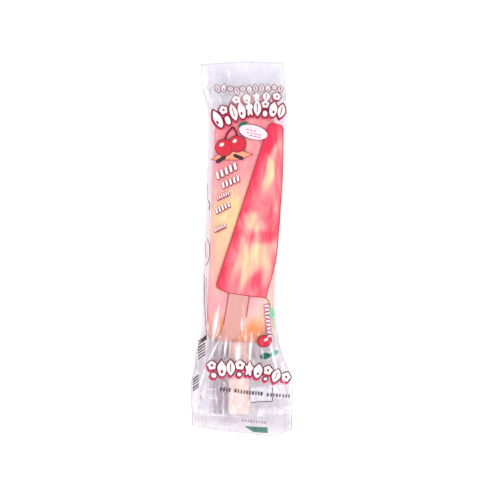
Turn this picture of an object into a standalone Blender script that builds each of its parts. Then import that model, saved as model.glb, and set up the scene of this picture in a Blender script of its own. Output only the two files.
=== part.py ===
"""A wrapped ice pop: one sealed pack of clear printed film round a long ice pop on a wooden stick.

Metres, +Z up. The pack lies on its back. +Y runs from the stick's end to the pop's tip, and +X is the
pack's right. The origin is the middle of the pack's box, on the surface that the pack lies on.

The pack is one closed solid, since the film is sealed all round. It is lofted along Y through a few
stations. Each cross-section has a front and a back sheet that meet at the pack's two side edges.
"""

import bisect
import collections
import math

import bmesh
import bpy

# Driving dimensions of the film. The two end seals are flat and ribbed.
PACK_LENGTH = 0.2532
TOP_SEAL_Y = 0.1090
BOTTOM_SEAL_Y = -0.1122
SEAL_HALF_DEPTH = 0.00035
RIB_HEIGHT = 0.0003

# The cut edges are a little out of square: these are their heights at the left side, at the longest
# point and at the right side, and where across the pack that longest point is.
TOP_CUT = (0.1248, 0.1266, 0.1259)
TOP_CUT_PEAK = 0.1
BOTTOM_CUT = (-0.1200, -0.1266, -0.1219)
BOTTOM_CUT_PEAK = 0.65

# The contents that the film follows: the pop's lower end, and the flat wooden stick below it
POP_TIP_Y = 0.0925
POP_BASE_Y = -0.0596
STICK_X = -0.0019
STICK_WIDTH = 0.0139
STICK_FRONT_Z = 0.0118
STICK_BACK_Z = 0.0083
STICK_END_Y = -0.1105
# How far from the stick the film leaves it: beside it, past its end, and towards the pop
LEAVES_BESIDE = 0.003
LEAVES_PAST_END = 0.0015
LEAVES_TO_POP = (-0.0716, -0.0556)

# The back seam, a fin of film folded flat against the back sheet
FIN_X = -0.0125
FIN_WIDTH = 0.009
FIN_DEPTH = 0.0005
FIN_EDGE = 0.0005

# The loft's fineness: segments across each sheet, and rows from each station to the next
SEGMENTS_ACROSS = 40
ROWS_TO_NEXT = (3, 4, 4, 3, 5, 5, 4, 3, 3, 4, 4, 5, 3, 3)
FINE_SAMPLES = 240

# What the cross-section is at one place along the pack. centre and half_width give its side edges,
# height its middle, half_depth its thickness, droop how far its side edges hang below the middle, and
# square how boxy it is: 2 is an ellipse, 8 follows the flat faces of the pop, and 24 is a flat seal.
Station = collections.namedtuple("Station", "y centre half_width height half_depth droop square")

STATIONS = (
    Station(PACK_LENGTH / 2, 0.0000, 0.0281, 0.0056, SEAL_HALF_DEPTH, 0.0026, 24.0),
    Station(TOP_SEAL_Y, 0.0010, 0.0285, 0.0074, SEAL_HALF_DEPTH, 0.0026, 24.0),
    Station(0.1010, 0.0024, 0.0273, 0.0090, 0.0044, 0.0016, 3.0),
    Station(0.0900, 0.0037, 0.0265, 0.0099, 0.0090, 0.0008, 6.0),
    Station(0.0790, 0.0037, 0.0264, 0.0100, 0.0101, 0.0004, 8.0),
    Station(0.0230, 0.0016, 0.0262, 0.0100, 0.0101, 0.0004, 8.0),
    Station(-0.0360, -0.0024, 0.0249, 0.0100, 0.0101, 0.0004, 8.0),
    Station(-0.0550, -0.0013, 0.0260, 0.0100, 0.0101, 0.0006, 7.5),
    Station(-0.0625, -0.0018, 0.0270, 0.0100, 0.0088, 0.0020, 5.0),
    Station(-0.0700, -0.0020, 0.0291, 0.0100, 0.0056, 0.0036, 2.8),
    Station(-0.0800, -0.0006, 0.0316, 0.0100, 0.0030, 0.0046, 2.4),
    Station(-0.0910, 0.0000, 0.0345, 0.0099, 0.0018, 0.0052, 2.4),
    Station(-0.1060, 0.0000, 0.0344, 0.0096, 0.0013, 0.0056, 2.8),
    Station(BOTTOM_SEAL_Y, 0.0002, 0.0341, 0.0090, SEAL_HALF_DEPTH, 0.0058, 24.0),
    Station(-PACK_LENGTH / 2, 0.0002, 0.0340, 0.0076, SEAL_HALF_DEPTH, 0.0058, 24.0),
)
# How fast a sheet falls away at its side edge: 0.5 is round, and 1 would be a straight slope
EDGE_POWER = 0.5

# Creases that stand up in the front sheet. Each runs from (across, y) to (across, y), where across goes
# from -1 at the left side edge to 1 at the right one, and has a half width across and a height.
Crease = collections.namedtuple("Crease", "start end half_width height")

CREASES = (
    Crease((-0.74, -0.058), (-0.90, -0.104), 0.060, 0.0016),
    Crease((-0.40, -0.060), (-0.68, -0.108), 0.055, 0.0022),
    Crease((-0.52, -0.061), (-0.36, -0.096), 0.050, 0.0018),
    Crease((0.16, -0.060), (0.24, -0.104), 0.050, 0.0018),
    Crease((0.36, -0.060), (0.56, -0.108), 0.055, 0.0021),
    Crease((0.66, -0.058), (0.82, -0.106), 0.060, 0.0019),
    Crease((-0.62, 0.092), (-0.74, 0.108), 0.070, 0.0013),
    Crease((-0.26, 0.094), (-0.34, 0.108), 0.060, 0.0011),
    Crease((0.30, 0.094), (0.22, 0.108), 0.060, 0.0012),
    Crease((0.60, 0.092), (0.72, 0.108), 0.070, 0.0012),
)
CREASE_FADE = 0.010

# Colours and finish: clear film at the ends, the pop and the stick showing through it, and the picture
# of a pop that is printed on it. The picture's middle line runs from its tip to its base.
PICTURE_TIP = (0.0234, 0.083)
PICTURE_BASE = (-0.0007, -0.030)
PICTURE_HALF_WIDTHS = (0.0052, 0.0162)
CLEAR_FILM = ("clear_film", (0.82, 0.80, 0.88, 1.0))
FILM_OVER_POP = ("film_over_pop", (0.98, 0.56, 0.46, 1.0))
PRINTED_PICTURE = ("printed_picture", (0.96, 0.16, 0.24, 1.0))
FILM_OVER_STICK = ("film_over_stick", (0.97, 0.84, 0.70, 1.0))
FINISHES = (CLEAR_FILM, FILM_OVER_POP, PRINTED_PICTURE, FILM_OVER_STICK)
FILM_ROUGHNESS = 0.22
SHARP_ANGLE = math.radians(40)


def clear_scene():
    for obj in list(bpy.data.objects):
        bpy.data.objects.remove(obj, do_unlink=True)


def gentle_slopes(xs, values):
    """Slopes at each point for a smooth curve through the points that never overshoots them."""
    steps = [(b - a) / (x1 - x0) for x0, x1, a, b in zip(xs, xs[1:], values, values[1:])]
    inner = [0.0 if a * b <= 0 else 2 * a * b / (a + b) for a, b in zip(steps, steps[1:])]
    return [steps[0], *inner, steps[-1]]


def smooth_curve(xs, values):
    """A function of x that runs smoothly through the points. xs rises."""
    slopes = gentle_slopes(xs, values)

    def at(x):
        i = min(max(bisect.bisect_right(xs, x) - 1, 0), len(xs) - 2)
        step = xs[i + 1] - xs[i]
        t = min(max((x - xs[i]) / step, 0.0), 1.0)
        start = values[i] * (1 + 2 * t) * (1 - t) ** 2 + slopes[i] * step * t * (1 - t) ** 2
        end = values[i + 1] * (3 - 2 * t) * t * t + slopes[i + 1] * step * t * t * (t - 1)
        return start + end

    return at


def station_curves():
    """One smooth curve along the pack for each measure of a station."""
    rising = STATIONS[::-1]
    ys = [s.y for s in rising]
    return {field: smooth_curve(ys, [getattr(s, field) for s in rising]) for field in Station._fields[1:]}


def ramp(x, low, high):
    """0 below low, 1 above high and smooth between them."""
    t = min(max((x - low) / (high - low), 0.0), 1.0)
    return t * t * (3 - 2 * t)


def crease_height(across, y):
    """How far the creases lift the front sheet at a place."""
    lift = 0.0
    for c in CREASES:
        low, high = sorted((c.start[1], c.end[1]))
        t = (y - c.start[1]) / (c.end[1] - c.start[1])
        middle = c.start[0] + (c.end[0] - c.start[0]) * min(max(t, 0.0), 1.0)
        along = ramp(y, low - CREASE_FADE, low) * (1 - ramp(y, high, high + CREASE_FADE))
        lift += c.height * along * math.exp(-(((across - middle) / c.half_width) ** 2))
    return lift


def over_stick(x, y):
    """How much the stick holds the film apart at a place, from 0 to 1, with soft edges."""
    side = abs(x - STICK_X) - STICK_WIDTH / 2
    low, high = LEAVES_TO_POP
    along = ramp(y, STICK_END_Y - LEAVES_PAST_END, STICK_END_Y) * (1 - ramp(y, low, high))
    return (1 - ramp(side, 0.0, LEAVES_BESIDE)) * along


def cut_edge(across, heights, peak):
    """The Y of a cut edge: two straight runs that meet at the edge's longest point."""
    left, longest, right = heights
    if across < peak:
        return left + (longest - left) * (across + 1) / (peak + 1)
    return longest + (right - longest) * (across - peak) / (1 - peak)


def skewed_y(across, y):
    """Y of a point, with the rows inside each seal fanned out to the cut edge."""
    if y > TOP_SEAL_Y:
        share = (y - TOP_SEAL_Y) / (PACK_LENGTH / 2 - TOP_SEAL_Y)
        return TOP_SEAL_Y + share * (cut_edge(across, TOP_CUT, TOP_CUT_PEAK) - TOP_SEAL_Y)
    if y < BOTTOM_SEAL_Y:
        share = (y - BOTTOM_SEAL_Y) / (-PACK_LENGTH / 2 - BOTTOM_SEAL_Y)
        return BOTTOM_SEAL_Y + share * (cut_edge(across, BOTTOM_CUT, BOTTOM_CUT_PEAK) - BOTTOM_SEAL_Y)
    return y


def sheet_point(curves, across, y, side):
    """A point of the front sheet (side 1) or the back sheet (side -1). across runs from -1 to 1."""
    x = curves["centre"](y) + curves["half_width"](y) * across
    middle = curves["height"](y) - curves["droop"](y) * across**2
    bulge = (1 - abs(across) ** curves["square"](y)) ** EDGE_POWER if abs(across) < 1 else 0.0
    z = middle + side * curves["half_depth"](y) * bulge
    held = over_stick(x, y)
    if side > 0:
        z += crease_height(across, y) * bulge
        z += held * max(STICK_FRONT_Z - z, 0.0)
    else:
        z -= held * max(z - STICK_BACK_Z, 0.0)
        beside = abs(x - FIN_X) - FIN_WIDTH / 2
        z -= FIN_DEPTH * (1 - ramp(beside, -FIN_EDGE, FIN_EDGE)) * bulge
    return (x, skewed_y(across, y), max(z, 0.0))


def even_row(curves, y, side):
    """SEGMENTS_ACROSS + 1 points across a sheet, from the left side edge to the right one, evenly spaced."""
    fine = [sheet_point(curves, -1 + 2 * k / FINE_SAMPLES, y, side) for k in range(FINE_SAMPLES + 1)]
    lengths = [0.0]
    for a, b in zip(fine, fine[1:]):
        lengths.append(lengths[-1] + math.dist(a, b))
    row = []
    for k in range(SEGMENTS_ACROSS + 1):
        want = lengths[-1] * k / SEGMENTS_ACROSS
        i = min(bisect.bisect_right(lengths, want), FINE_SAMPLES) - 1
        share = (want - lengths[i]) / (lengths[i + 1] - lengths[i])
        across = -1 + 2 * (i + share) / FINE_SAMPLES
        row.append(sheet_point(curves, min(max(across, -1.0), 1.0), y, side))
    return row


def in_seal(y):
    return y >= TOP_SEAL_Y or y <= BOTTOM_SEAL_Y


def ring(curves, y):
    """A closed ring of points round the pack: the front sheet to the right, then the back sheet to the left."""
    front = even_row(curves, y, 1)
    back = even_row(curves, y, -1)
    if in_seal(y):
        ribs = [RIB_HEIGHT * (1 if k % 2 else -1) for k in range(SEGMENTS_ACROSS + 1)]
        front = [(x, at, z + rib) for (x, at, z), rib in zip(front, ribs)]
        back = [(x, at, z + rib) for (x, at, z), rib in zip(back, ribs)]
    return front + back[-2:0:-1]


def row_heights():
    """Y of every row of the loft, from the top edge to the bottom one."""
    ys = [STATIONS[0].y]
    for upper, lower, rows in zip(STATIONS, STATIONS[1:], ROWS_TO_NEXT):
        ys += [upper.y + (lower.y - upper.y) * (k + 1) / rows for k in range(rows)]
    return ys


def close_end(bm, ring_verts, upward):
    """Closes the loft's end with a strip of faces between the front and the back sheet."""
    count = len(ring_verts)
    for k in range(SEGMENTS_ACROSS):
        corners = [ring_verts[k], ring_verts[k + 1]]
        corners += [ring_verts[(count - k - 1) % count], ring_verts[(count - k) % count]]
        different = list(dict.fromkeys(corners))
        bm.faces.new(different if upward else different[::-1])


def finish_of(x, y):
    """Which of FINISHES a face of the front has."""
    if over_stick(x, y) > 0.5 and y < POP_BASE_Y:
        return FINISHES.index(FILM_OVER_STICK)
    if not POP_BASE_Y < y < POP_TIP_Y:
        return FINISHES.index(CLEAR_FILM)
    share = (y - PICTURE_BASE[1]) / (PICTURE_TIP[1] - PICTURE_BASE[1])
    middle = PICTURE_BASE[0] + (PICTURE_TIP[0] - PICTURE_BASE[0]) * share
    tip, base = PICTURE_HALF_WIDTHS
    on_picture = 0 <= share <= 1 and abs(x - middle) < base + (tip - base) * share
    return FINISHES.index(PRINTED_PICTURE if on_picture else FILM_OVER_POP)


def film_materials():
    made = []
    for name, colour in FINISHES:
        material = bpy.data.materials.new(name)
        material.use_nodes = True
        shader = material.node_tree.nodes["Principled BSDF"]
        shader.inputs["Base Color"].default_value = colour
        shader.inputs["Roughness"].default_value = FILM_ROUGHNESS
        shader.inputs["Metallic"].default_value = 0.0
        made.append(material)
    return made


def make_wrapper():
    """The sealed pack, as one closed solid."""
    curves = station_curves()
    bm = bmesh.new()
    rings = [[bm.verts.new(p) for p in ring(curves, y)] for y in row_heights()]
    count = len(rings[0])
    for upper, lower in zip(rings, rings[1:]):
        for k in range(count):
            nxt = (k + 1) % count
            bm.faces.new((upper[k], lower[k], lower[nxt], upper[nxt]))
    close_end(bm, rings[0], True)
    close_end(bm, rings[-1], False)
    bmesh.ops.recalc_face_normals(bm, faces=bm.faces)
    bm.normal_update()
    for face in bm.faces:
        middle = face.calc_center_median()
        face.smooth = True
        face.material_index = finish_of(middle.x, middle.y) if face.normal.z > 0 else 0
    mesh = bpy.data.meshes.new("wrapper")
    bm.to_mesh(mesh)
    bm.free()
    for material in film_materials():
        mesh.materials.append(material)
    mesh.set_sharp_from_angle(angle=SHARP_ANGLE)
    wrapper = bpy.data.objects.new("wrapper", mesh)
    bpy.context.scene.collection.objects.link(wrapper)
    return wrapper


clear_scene()
make_wrapper()
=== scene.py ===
"""Looks of the wrapped ice pop: clear wrinkled film with its print, and the ice pop and stick inside.

Metres, +Z up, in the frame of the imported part, which lies on its back with its printed front up. The film
repeats the driving values and formulas of the part's own pack, and adds the creases and folds of real film.
The print is generic: fields of colour and simple shapes only.
"""

import math

import bmesh
import bpy
import numpy as np
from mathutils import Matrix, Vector


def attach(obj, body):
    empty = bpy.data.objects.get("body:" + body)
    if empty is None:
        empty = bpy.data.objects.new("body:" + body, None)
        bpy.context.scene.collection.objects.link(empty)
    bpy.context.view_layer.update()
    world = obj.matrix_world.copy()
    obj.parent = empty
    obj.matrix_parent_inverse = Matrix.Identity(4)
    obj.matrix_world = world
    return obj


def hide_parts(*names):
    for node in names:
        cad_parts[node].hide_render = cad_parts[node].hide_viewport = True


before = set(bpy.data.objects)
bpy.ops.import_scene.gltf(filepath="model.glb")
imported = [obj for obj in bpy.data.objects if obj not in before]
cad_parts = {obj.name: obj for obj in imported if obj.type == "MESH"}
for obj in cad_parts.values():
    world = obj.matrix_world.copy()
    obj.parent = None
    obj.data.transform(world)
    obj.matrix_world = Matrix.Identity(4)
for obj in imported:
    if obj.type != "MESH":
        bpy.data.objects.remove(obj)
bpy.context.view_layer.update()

# The pack, as in the part's own source
PACK_LENGTH = 0.2532
TOP_SEAL_Y = 0.109
BOTTOM_SEAL_Y = -0.1122
TOP_CUT = (0.1248, 0.1266, 0.1259)
TOP_CUT_PEAK = 0.1
BOTTOM_CUT = (-0.12, -0.1266, -0.1219)
BOTTOM_CUT_PEAK = 0.65
POP_TIP_Y = 0.0925
POP_BASE_Y = -0.0596
STICK_X = -0.0019
STICK_WIDTH = 0.0139
STICK_FRONT_Z = 0.0118
STICK_BACK_Z = 0.0083
STICK_END_Y = -0.1105
LEAVES_BESIDE = 0.003
LEAVES_PAST_END = 0.0015
LEAVES_TO_POP = (-0.0716, -0.0556)
EDGE_POWER = 0.5
FIELDS = ("centre", "half_width", "height", "half_depth", "droop", "square")
SEAL_HALF_DEPTH = 0.00008
STATIONS = (
    (PACK_LENGTH / 2, 0, 0.0281, 0.0056, SEAL_HALF_DEPTH, 0.0026, 24),
    (TOP_SEAL_Y, 0.001, 0.0285, 0.0074, SEAL_HALF_DEPTH, 0.0026, 24),
    (0.101, 0.0024, 0.0273, 0.009, 0.0044, 0.0016, 3),
    (0.09, 0.0037, 0.0265, 0.0099, 0.009, 0.0008, 6),
    (0.079, 0.0037, 0.0264, 0.01, 0.0101, 0.0004, 8),
    (0.023, 0.0016, 0.0262, 0.01, 0.0101, 0.0004, 8),
    (-0.036, -0.0024, 0.0249, 0.01, 0.0101, 0.0004, 8),
    (-0.055, -0.0013, 0.026, 0.01, 0.0101, 0.0006, 7.5),
    (-0.0625, -0.0018, 0.027, 0.01, 0.0088, 0.002, 5),
    (-0.07, -0.002, 0.0291, 0.01, 0.0056, 0.0036, 2.8),
    (-0.08, -0.0006, 0.0316, 0.01, 0.003, 0.0046, 2.4),
    (-0.091, 0, 0.0345, 0.0099, 0.0018, 0.0052, 2.4),
    (-0.106, 0, 0.0344, 0.0096, 0.0013, 0.0056, 2.8),
    (BOTTOM_SEAL_Y, 0.0002, 0.0341, 0.009, SEAL_HALF_DEPTH, 0.0058, 24),
    (-PACK_LENGTH / 2, 0.0002, 0.034, 0.0076, SEAL_HALF_DEPTH, 0.0058, 24),
)
# Soft ridges of the front sheet: start and end as (across, y), half width across, height
RIDGES = (
    ((-0.74, -0.058), (-0.9, -0.104), 0.06, 0.0016),
    ((-0.4, -0.06), (-0.68, -0.108), 0.055, 0.0022),
    ((-0.52, -0.061), (-0.36, -0.096), 0.05, 0.0018),
    ((0.16, -0.06), (0.24, -0.104), 0.05, 0.0018),
    ((0.36, -0.06), (0.56, -0.108), 0.055, 0.0021),
    ((0.66, -0.058), (0.82, -0.106), 0.06, 0.0019),
    ((-0.62, 0.092), (-0.74, 0.108), 0.07, 0.0013),
    ((-0.26, 0.094), (-0.34, 0.108), 0.06, 0.0011),
    ((0.3, 0.094), (0.22, 0.108), 0.06, 0.0012),
    ((0.6, 0.092), (0.72, 0.108), 0.07, 0.0012),
)
RIDGE_FADE = 0.01

MM = 0.001

# Long folds of the film where it narrows from the pop to the seals: start x and y, end x and y, half width
# and height, all in millimetres
MAIN_FOLDS = (
    (-16, -40, -24.6, -70, 1.7, 0.75),
    (-19.8, -46, -24.4, -62, 1.3, 0.45),
    (-16.4, -60, -27, -86, 1.8, 0.95),
    (-11.6, -52, -12.8, -78, 1.6, 0.8),
    (-4.4, -54, -4.6, -76, 1.4, 0.45),
    (-0.6, -32, 1.6, -66, 1.5, 0.5),
    (8.4, -50, 5.6, -90, 1.8, 0.85),
    (12.4, -54, 15, -80, 1.4, 0.6),
    (16.8, -56, 21, -94, 1.7, 0.85),
    (20.4, -54, 28, -92, 1.7, 0.8),
    (23.6, -60, 31, -86, 1.3, 0.5),
    (28, -80, 24.5, -110, 1.4, 0.5),
    (-17, -84, -31, -104, 1.6, 0.6),
    (-24, -84, -28, -111, 1.4, 0.5),
    (14, -90, 20.5, -111, 1.4, 0.45),
    (-20.5, 84, -27, 106, 1.6, 0.6),
    (-14, 88, -19.5, 108, 1.5, 0.5),
    (22, 86, 25, 107, 1.5, 0.5),
)


def smooth_curve(xs, values):
    """A function of an array that runs smoothly through the points and never overshoots them. xs rises."""
    xs, values = np.array(xs), np.array(values)
    steps = np.diff(values) / np.diff(xs)
    product = steps[:-1] * steps[1:]
    total = np.where(product > 0, steps[:-1] + steps[1:], 1)
    slopes = np.concatenate([steps[:1], np.where(product > 0, 2 * product / total, 0), steps[-1:]])

    def at(x):
        i = np.clip(np.searchsorted(xs, x, side="right") - 1, 0, len(xs) - 2)
        step = xs[i + 1] - xs[i]
        t = np.clip((x - xs[i]) / step, 0, 1)
        start = values[i] * (1 + 2 * t) * (1 - t) ** 2 + slopes[i] * step * t * (1 - t) ** 2
        return start + values[i + 1] * (3 - 2 * t) * t * t + slopes[i + 1] * step * t * t * (t - 1)

    return at


def station_curves():
    rising = STATIONS[::-1]
    ys = [s[0] for s in rising]
    return {field: smooth_curve(ys, [s[k + 1] for s in rising]) for k, field in enumerate(FIELDS)}


CURVES = station_curves()


def x_at(across, y):
    """X of a place on a sheet, where across runs from -1 to 1 between the pack's side edges."""
    return CURVES["centre"](y) + CURVES["half_width"](y) * across


def across_at(x, y, most):
    """How far across the pack an X is, kept within most on both sides."""
    return np.clip((x - CURVES["centre"](y)) / CURVES["half_width"](y), -most, most)


def ramp(x, low, high):
    """0 below low, 1 above high and smooth between them."""
    t = np.clip((x - low) / (high - low), 0, 1)
    return t * t * (3 - 2 * t)


LATTICE = 64


def lattice_noise(x, y, size, seed, shift=(0, 0)):
    """Smooth noise between -1 and 1 over a plane, with features as wide and as long as size."""
    table = np.random.default_rng(seed).uniform(-1, 1, (LATTICE, LATTICE))
    x, y = x / size[0] + shift[0], y / size[1] + shift[1]
    i, j = np.floor(x).astype(int), np.floor(y).astype(int)
    u, v = x - i, y - j
    u, v = u * u * (3 - 2 * u), v * v * (3 - 2 * v)
    a, b, c, d = (table[(i + right) % LATTICE, (j + up) % LATTICE] for up in (0, 1) for right in (0, 1))
    return (a * (1 - u) + b * u) * (1 - v) + (c * (1 - u) + d * u) * v


def ridge_height(across, y):
    """How far the soft ridges lift the front sheet, as in the part's own source."""
    lift = 0
    for start, end, half_width, height in RIDGES:
        low, high = sorted((start[1], end[1]))
        t = np.clip((y - start[1]) / (end[1] - start[1]), 0, 1)
        middle = start[0] + (end[0] - start[0]) * t
        along = ramp(y, low - RIDGE_FADE, low) * (1 - ramp(y, high, high + RIDGE_FADE))
        lift = lift + height * along * np.exp(-(((across - middle) / half_width) ** 2))
    return lift


def over_stick(x, y):
    """How much the stick holds the film apart at a place, from 0 to 1, with soft edges."""
    side = np.abs(x - STICK_X) - STICK_WIDTH / 2
    low, high = LEAVES_TO_POP
    along = ramp(y, STICK_END_Y - LEAVES_PAST_END, STICK_END_Y) * (1 - ramp(y, low, high))
    return (1 - ramp(side, 0, LEAVES_BESIDE)) * along


# Spans that random folds are drawn from, in millimetres: where a fold starts in its own share of the width
# and along the pack, how much of the way it runs, how far aside it ends, and its half width
FOLD_PLACES = (0.15, 0.85)
FOLD_STARTS = (-4, 5)
FOLD_RUNS = (0.45, 1)
FOLD_ASIDE = (-3.5, 3.5)
FOLD_WIDTHS = (0.9, 1.7)
# Spans of the faint folds over the pop: x, y, length, tilt in radians, half width and height
BODY_SPANS = ((-24, 24), (-48, 86), (10, 34), (-0.45, 0.45), (0.6, 1.5), (0.04, 0.13))
FOLD_ENDS = 4


def random_folds(seed, count, y_from, y_to, spread_from, spread_to, heights):
    """Thin folds that fan out from one end of a stretch of film to the other, in millimetres."""
    rng = np.random.default_rng(seed)
    folds = []
    for k in range(count):
        share = (k + rng.uniform(*FOLD_PLACES)) / count * 2 - 1
        start = y_from + rng.uniform(*FOLD_STARTS) * np.sign(y_to - y_from)
        end = start + (y_to - start) * rng.uniform(*FOLD_RUNS)
        reach = (end - y_from) / (y_to - y_from)
        x0 = share * spread_from
        x1 = share * (spread_from + (spread_to - spread_from) * reach) + rng.uniform(*FOLD_ASIDE)
        folds.append((x0, start, x1, end, rng.uniform(*FOLD_WIDTHS), rng.uniform(*heights)))
    return folds


def body_folds(seed, count):
    """Faint long folds of the film where it lies over the pop, in millimetres."""
    rng = np.random.default_rng(seed)
    folds = []
    for _ in range(count):
        x, y, length, tilt, half_width, height = (rng.uniform(*span) for span in BODY_SPANS)
        end = (x + length * math.sin(tilt), y + length * math.cos(tilt))
        folds.append((x, y, *end, half_width, height))
    return folds


# Random folds: seed, count, Y at both ends of the stretch, half width of the fan there, and heights
FRONT_FOLDS = (
    list(MAIN_FOLDS)
    + random_folds(11, 26, -56, -112, 24, 33, (0.2, 0.55))
    + random_folds(12, 16, 88, 109, 24, 28, (0.15, 0.45))
    + body_folds(13, 34)
)
BACK_FOLDS = (
    random_folds(21, 26, -58, -112, 23, 33, (0.2, 0.6))
    + random_folds(22, 14, 90, 109, 24, 28, (0.15, 0.45))
    + body_folds(23, 20)
)


def beside_line(line, x, y):
    """How far along a line in millimetres a place is, as a share of it, and how far beside it in metres."""
    x0, y0, x1, y1 = line
    run_x, run_y = (x1 - x0) * MM, (y1 - y0) * MM
    from_x, from_y = x - x0 * MM, y - y0 * MM
    length = math.hypot(run_x, run_y)
    return (from_x * run_x + from_y * run_y) / length**2, (from_x * run_y - from_y * run_x) / length


def fold_height(folds, x, y):
    """How far thin folds with round crests stand up from a sheet, in metres."""
    lift = np.zeros(np.broadcast(x, y).shape)
    for *line, half_width, height in folds:
        t, away = beside_line(line, x, y)
        along = np.clip(np.minimum(t, 1 - t) * FOLD_ENDS, 0, 1)
        lift += height * MM * along * np.clip(1 - (away / (half_width * MM)) ** 2, 0, 1) ** 2
    return lift


# Painted highlights along the film's creases, and painted shade in its wrinkles, its folds and beside the
# stick: start x and y, end x and y, half width in millimetres, and strength
CREASE_HIGHLIGHTS = (
    (-15, -36.5, -19.6, -61.6, 1.35, 0.8),
    (-17.4, -46.2, -18.8, -58.3, 0.8, 0.6),
    (-14.7, -59.6, -23.5, -76.4, 0.5, 0.9),
    (-23.5, -76.4, -29.5, -94.5, 0.7, 0.5),
    (-10.2, -56, -11.9, -72.5, 0.7, 0.9),
    (-13.4, -47, -17, -59.5, 0.35, 0.5),
    (-0.3, -45, -0.3, -55, 0.7, 0.8),
    (-1.9, -61, -3.4, -80, 1.6, 0.55),
    (2.7, -48.9, 2.7, -64.4, 0.4, 0.4),
    (1, -46.2, 0.7, -34.2, 0.5, 0.3),
    (6.9, -54, 4.6, -78, 0.9, 0.85),
    (-22.8, -46, -22.2, -58, 0.9, 0.35),
    (18.6, -60.5, 23.8, -83, 0.9, 0.8),
    (13.4, -65, 14.2, -74, 0.5, 0.5),
    (26.1, -82.4, 28.8, -91.5, 0.8, 0.5),
    (-20.8, -92.5, -20.1, -104, 1.6, 0.22),
    (-17.6, -94.5, -17, -106, 0.8, 0.35),
    (-26, -93.8, -16, -93.8, 0.4, 0.5),
    (-25, -99.8, -15, -99.8, 0.4, 0.4),
    (-32.8, -102.8, -30.2, -110.4, 1.2, 0.7),
    (-36, -111.6, 2, -111.6, 0.35, 0.6),
    (-25.5, 125, -24.8, 107, 2, 0.55),
    (-9.4, 123, -8.7, 112, 0.8, 0.35),
    (-24.8, 110, -21.6, 98, 0.8, 0.7),
    (-16.5, 106, -12.5, 92, 1.4, 0.35),
    (-22, 98, 27, 103, 5.5, 0.32),
)
# Painted shade in the film's wrinkles and folds and beside the stick
WRINKLE_SHADES = (
    (-12.5, -44, -16.2, -59, 0.4, 0.6),
    (-14.4, -55, -19.2, -65, 0.45, 0.7),
    (-16.8, -58.6, -12.6, -75, 2.8, 0.44),
    (-9.8, -61.8, -9.8, -73, 0.6, 0.8),
    (-4, -55.4, -7.2, -63.2, 0.9, 0.5),
    (-14, -58, -15.2, -118, 6, 0.19),
    (-11.7, -67.4, -11.7, -80, 0.7, 0.5),
    (-11.4, -84.8, -11.4, -104.2, 0.7, 0.6),
    (-11.8, -98, -12.2, -114, 1, 0.3),
    (-28.3, -96.6, -27.3, -102.4, 0.7, 0.55),
    (3.9, -62.6, 4.1, -74.5, 1.5, 0.42),
    (23.3, -72.4, 26.3, -84.4, 1.4, 0.36),
    (-27.5, -62.7, -28.1, -91.4, 1.8, 0.22),
    (13, -71.4, 19, -90.4, 1.3, 0.28),
    (8, -76.7, 9.6, -94.5, 1.1, 0.14),
    (-35, -116, -15, -116, 5, 0.15),
    (-12.4, -95, -12.8, -109, 2.6, 0.36),
    (-17.5, -116.4, -1, -116.4, 5, 0.25),
    (-0.5, -104.5, 38, -104.5, 5.5, 0.19),
    (27.3, -84.8, 32.4, -104.2, 0.7, 0.32),
    (-23.1, 34.5, -24.1, -22.4, 0.5, 0.26),
    (-25.1, -7, -25.1, -54.6, 1.4, 0.3),
    (-22.8, 96.8, -23.5, 25.8, 1, 0.24),
    (-24.3, -45.9, -20.2, -65.3, 0.7, 0.42),
    (-20.1, 111.2, -22.8, 94.2, 0.7, 0.34),
    (-27, 104, -22, 104, 4, 0.12),
    (-13.4, -60.6, -21.8, -76.8, 0.45, 0.5),
    (-8.9, -58, -9.4, -70, 0.35, 0.4),
    (5.9, -60.5, 5.7, -73, 0.4, 0.5),
    (8.2, -60.5, 6.2, -79, 0.4, 0.3),
    (17.2, -61.5, 22.2, -84, 0.45, 0.38),
    (20.2, -60, 25.8, -82, 0.35, 0.3),
    (-24.8, -65, -28.8, -82, 0.4, 0.36),
    (-21.4, -66, -25.8, -84, 0.35, 0.3),
    (12, -64, 12.6, -76, 0.35, 0.34),
    (-19.2, -92, -19.8, -107, 0.4, 0.24),
    (-16.8, -43, -19.4, -58.5, 0.32, 0.42),
)
# A mark sways by this much, fades in patches, and thins to a share of its width towards its ends
CREASE_SWAY = 0.0003
SWAY_SIZE = (0.004, 0.006)
PATCH_DEPTH = 0.15
PATCH_SIZE = (0.002, 0.004)
MARK_ENDS = 2.2
MARK_TIP = 0.35
# Fine streaks of painted highlight and painted shade on loose film, their width and length in metres, and
# their strength above the pop
STREAK_SHARE = 0.18
FINE_STREAK = (0.0016, 0.021)
BROAD_STREAK = (0.005, 0.03)
BROAD_SHARE = 0.6
STREAK_LEVELS = (0.3, 1.15)
STREAK_SEEDS = {1: 71, -1: 76}
TOP_STREAKS = 0.35
# Painted shade at the edges of loose film and at the sides of tight film, a grey line along the cut edges,
# and grey in the low seal
EDGE_GREY = 0.16
EDGE_REACH = 0.025
SIDE_GREY = 0.07
SIDES_FROM = (0.78, 0.9)
CUT_GREY = 0.13
CUT_REACH = 0.0011
LOW_SEAL_GREY = 0.045


def marks(lines, x, y):
    """How strongly a list of soft lines marks a place, from 0 to 1."""
    mark = np.zeros(np.broadcast(x, y).shape)
    sway = CREASE_SWAY * lattice_noise(x, y, SWAY_SIZE, seed=61)
    for *line, half_width, strength in lines:
        t, away = beside_line(line, x, y)
        along = np.clip(np.minimum(t, 1 - t) * MARK_ENDS, 0, 1)
        reach = half_width * MM * (MARK_TIP + (1 - MARK_TIP) * along)
        mark = np.maximum(mark, strength * np.sqrt(along) * np.exp(-(((away + sway) / reach) ** 2)))
    return mark * (1 - PATCH_DEPTH + PATCH_DEPTH * lattice_noise(x, y, PATCH_SIZE, seed=63))


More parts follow.
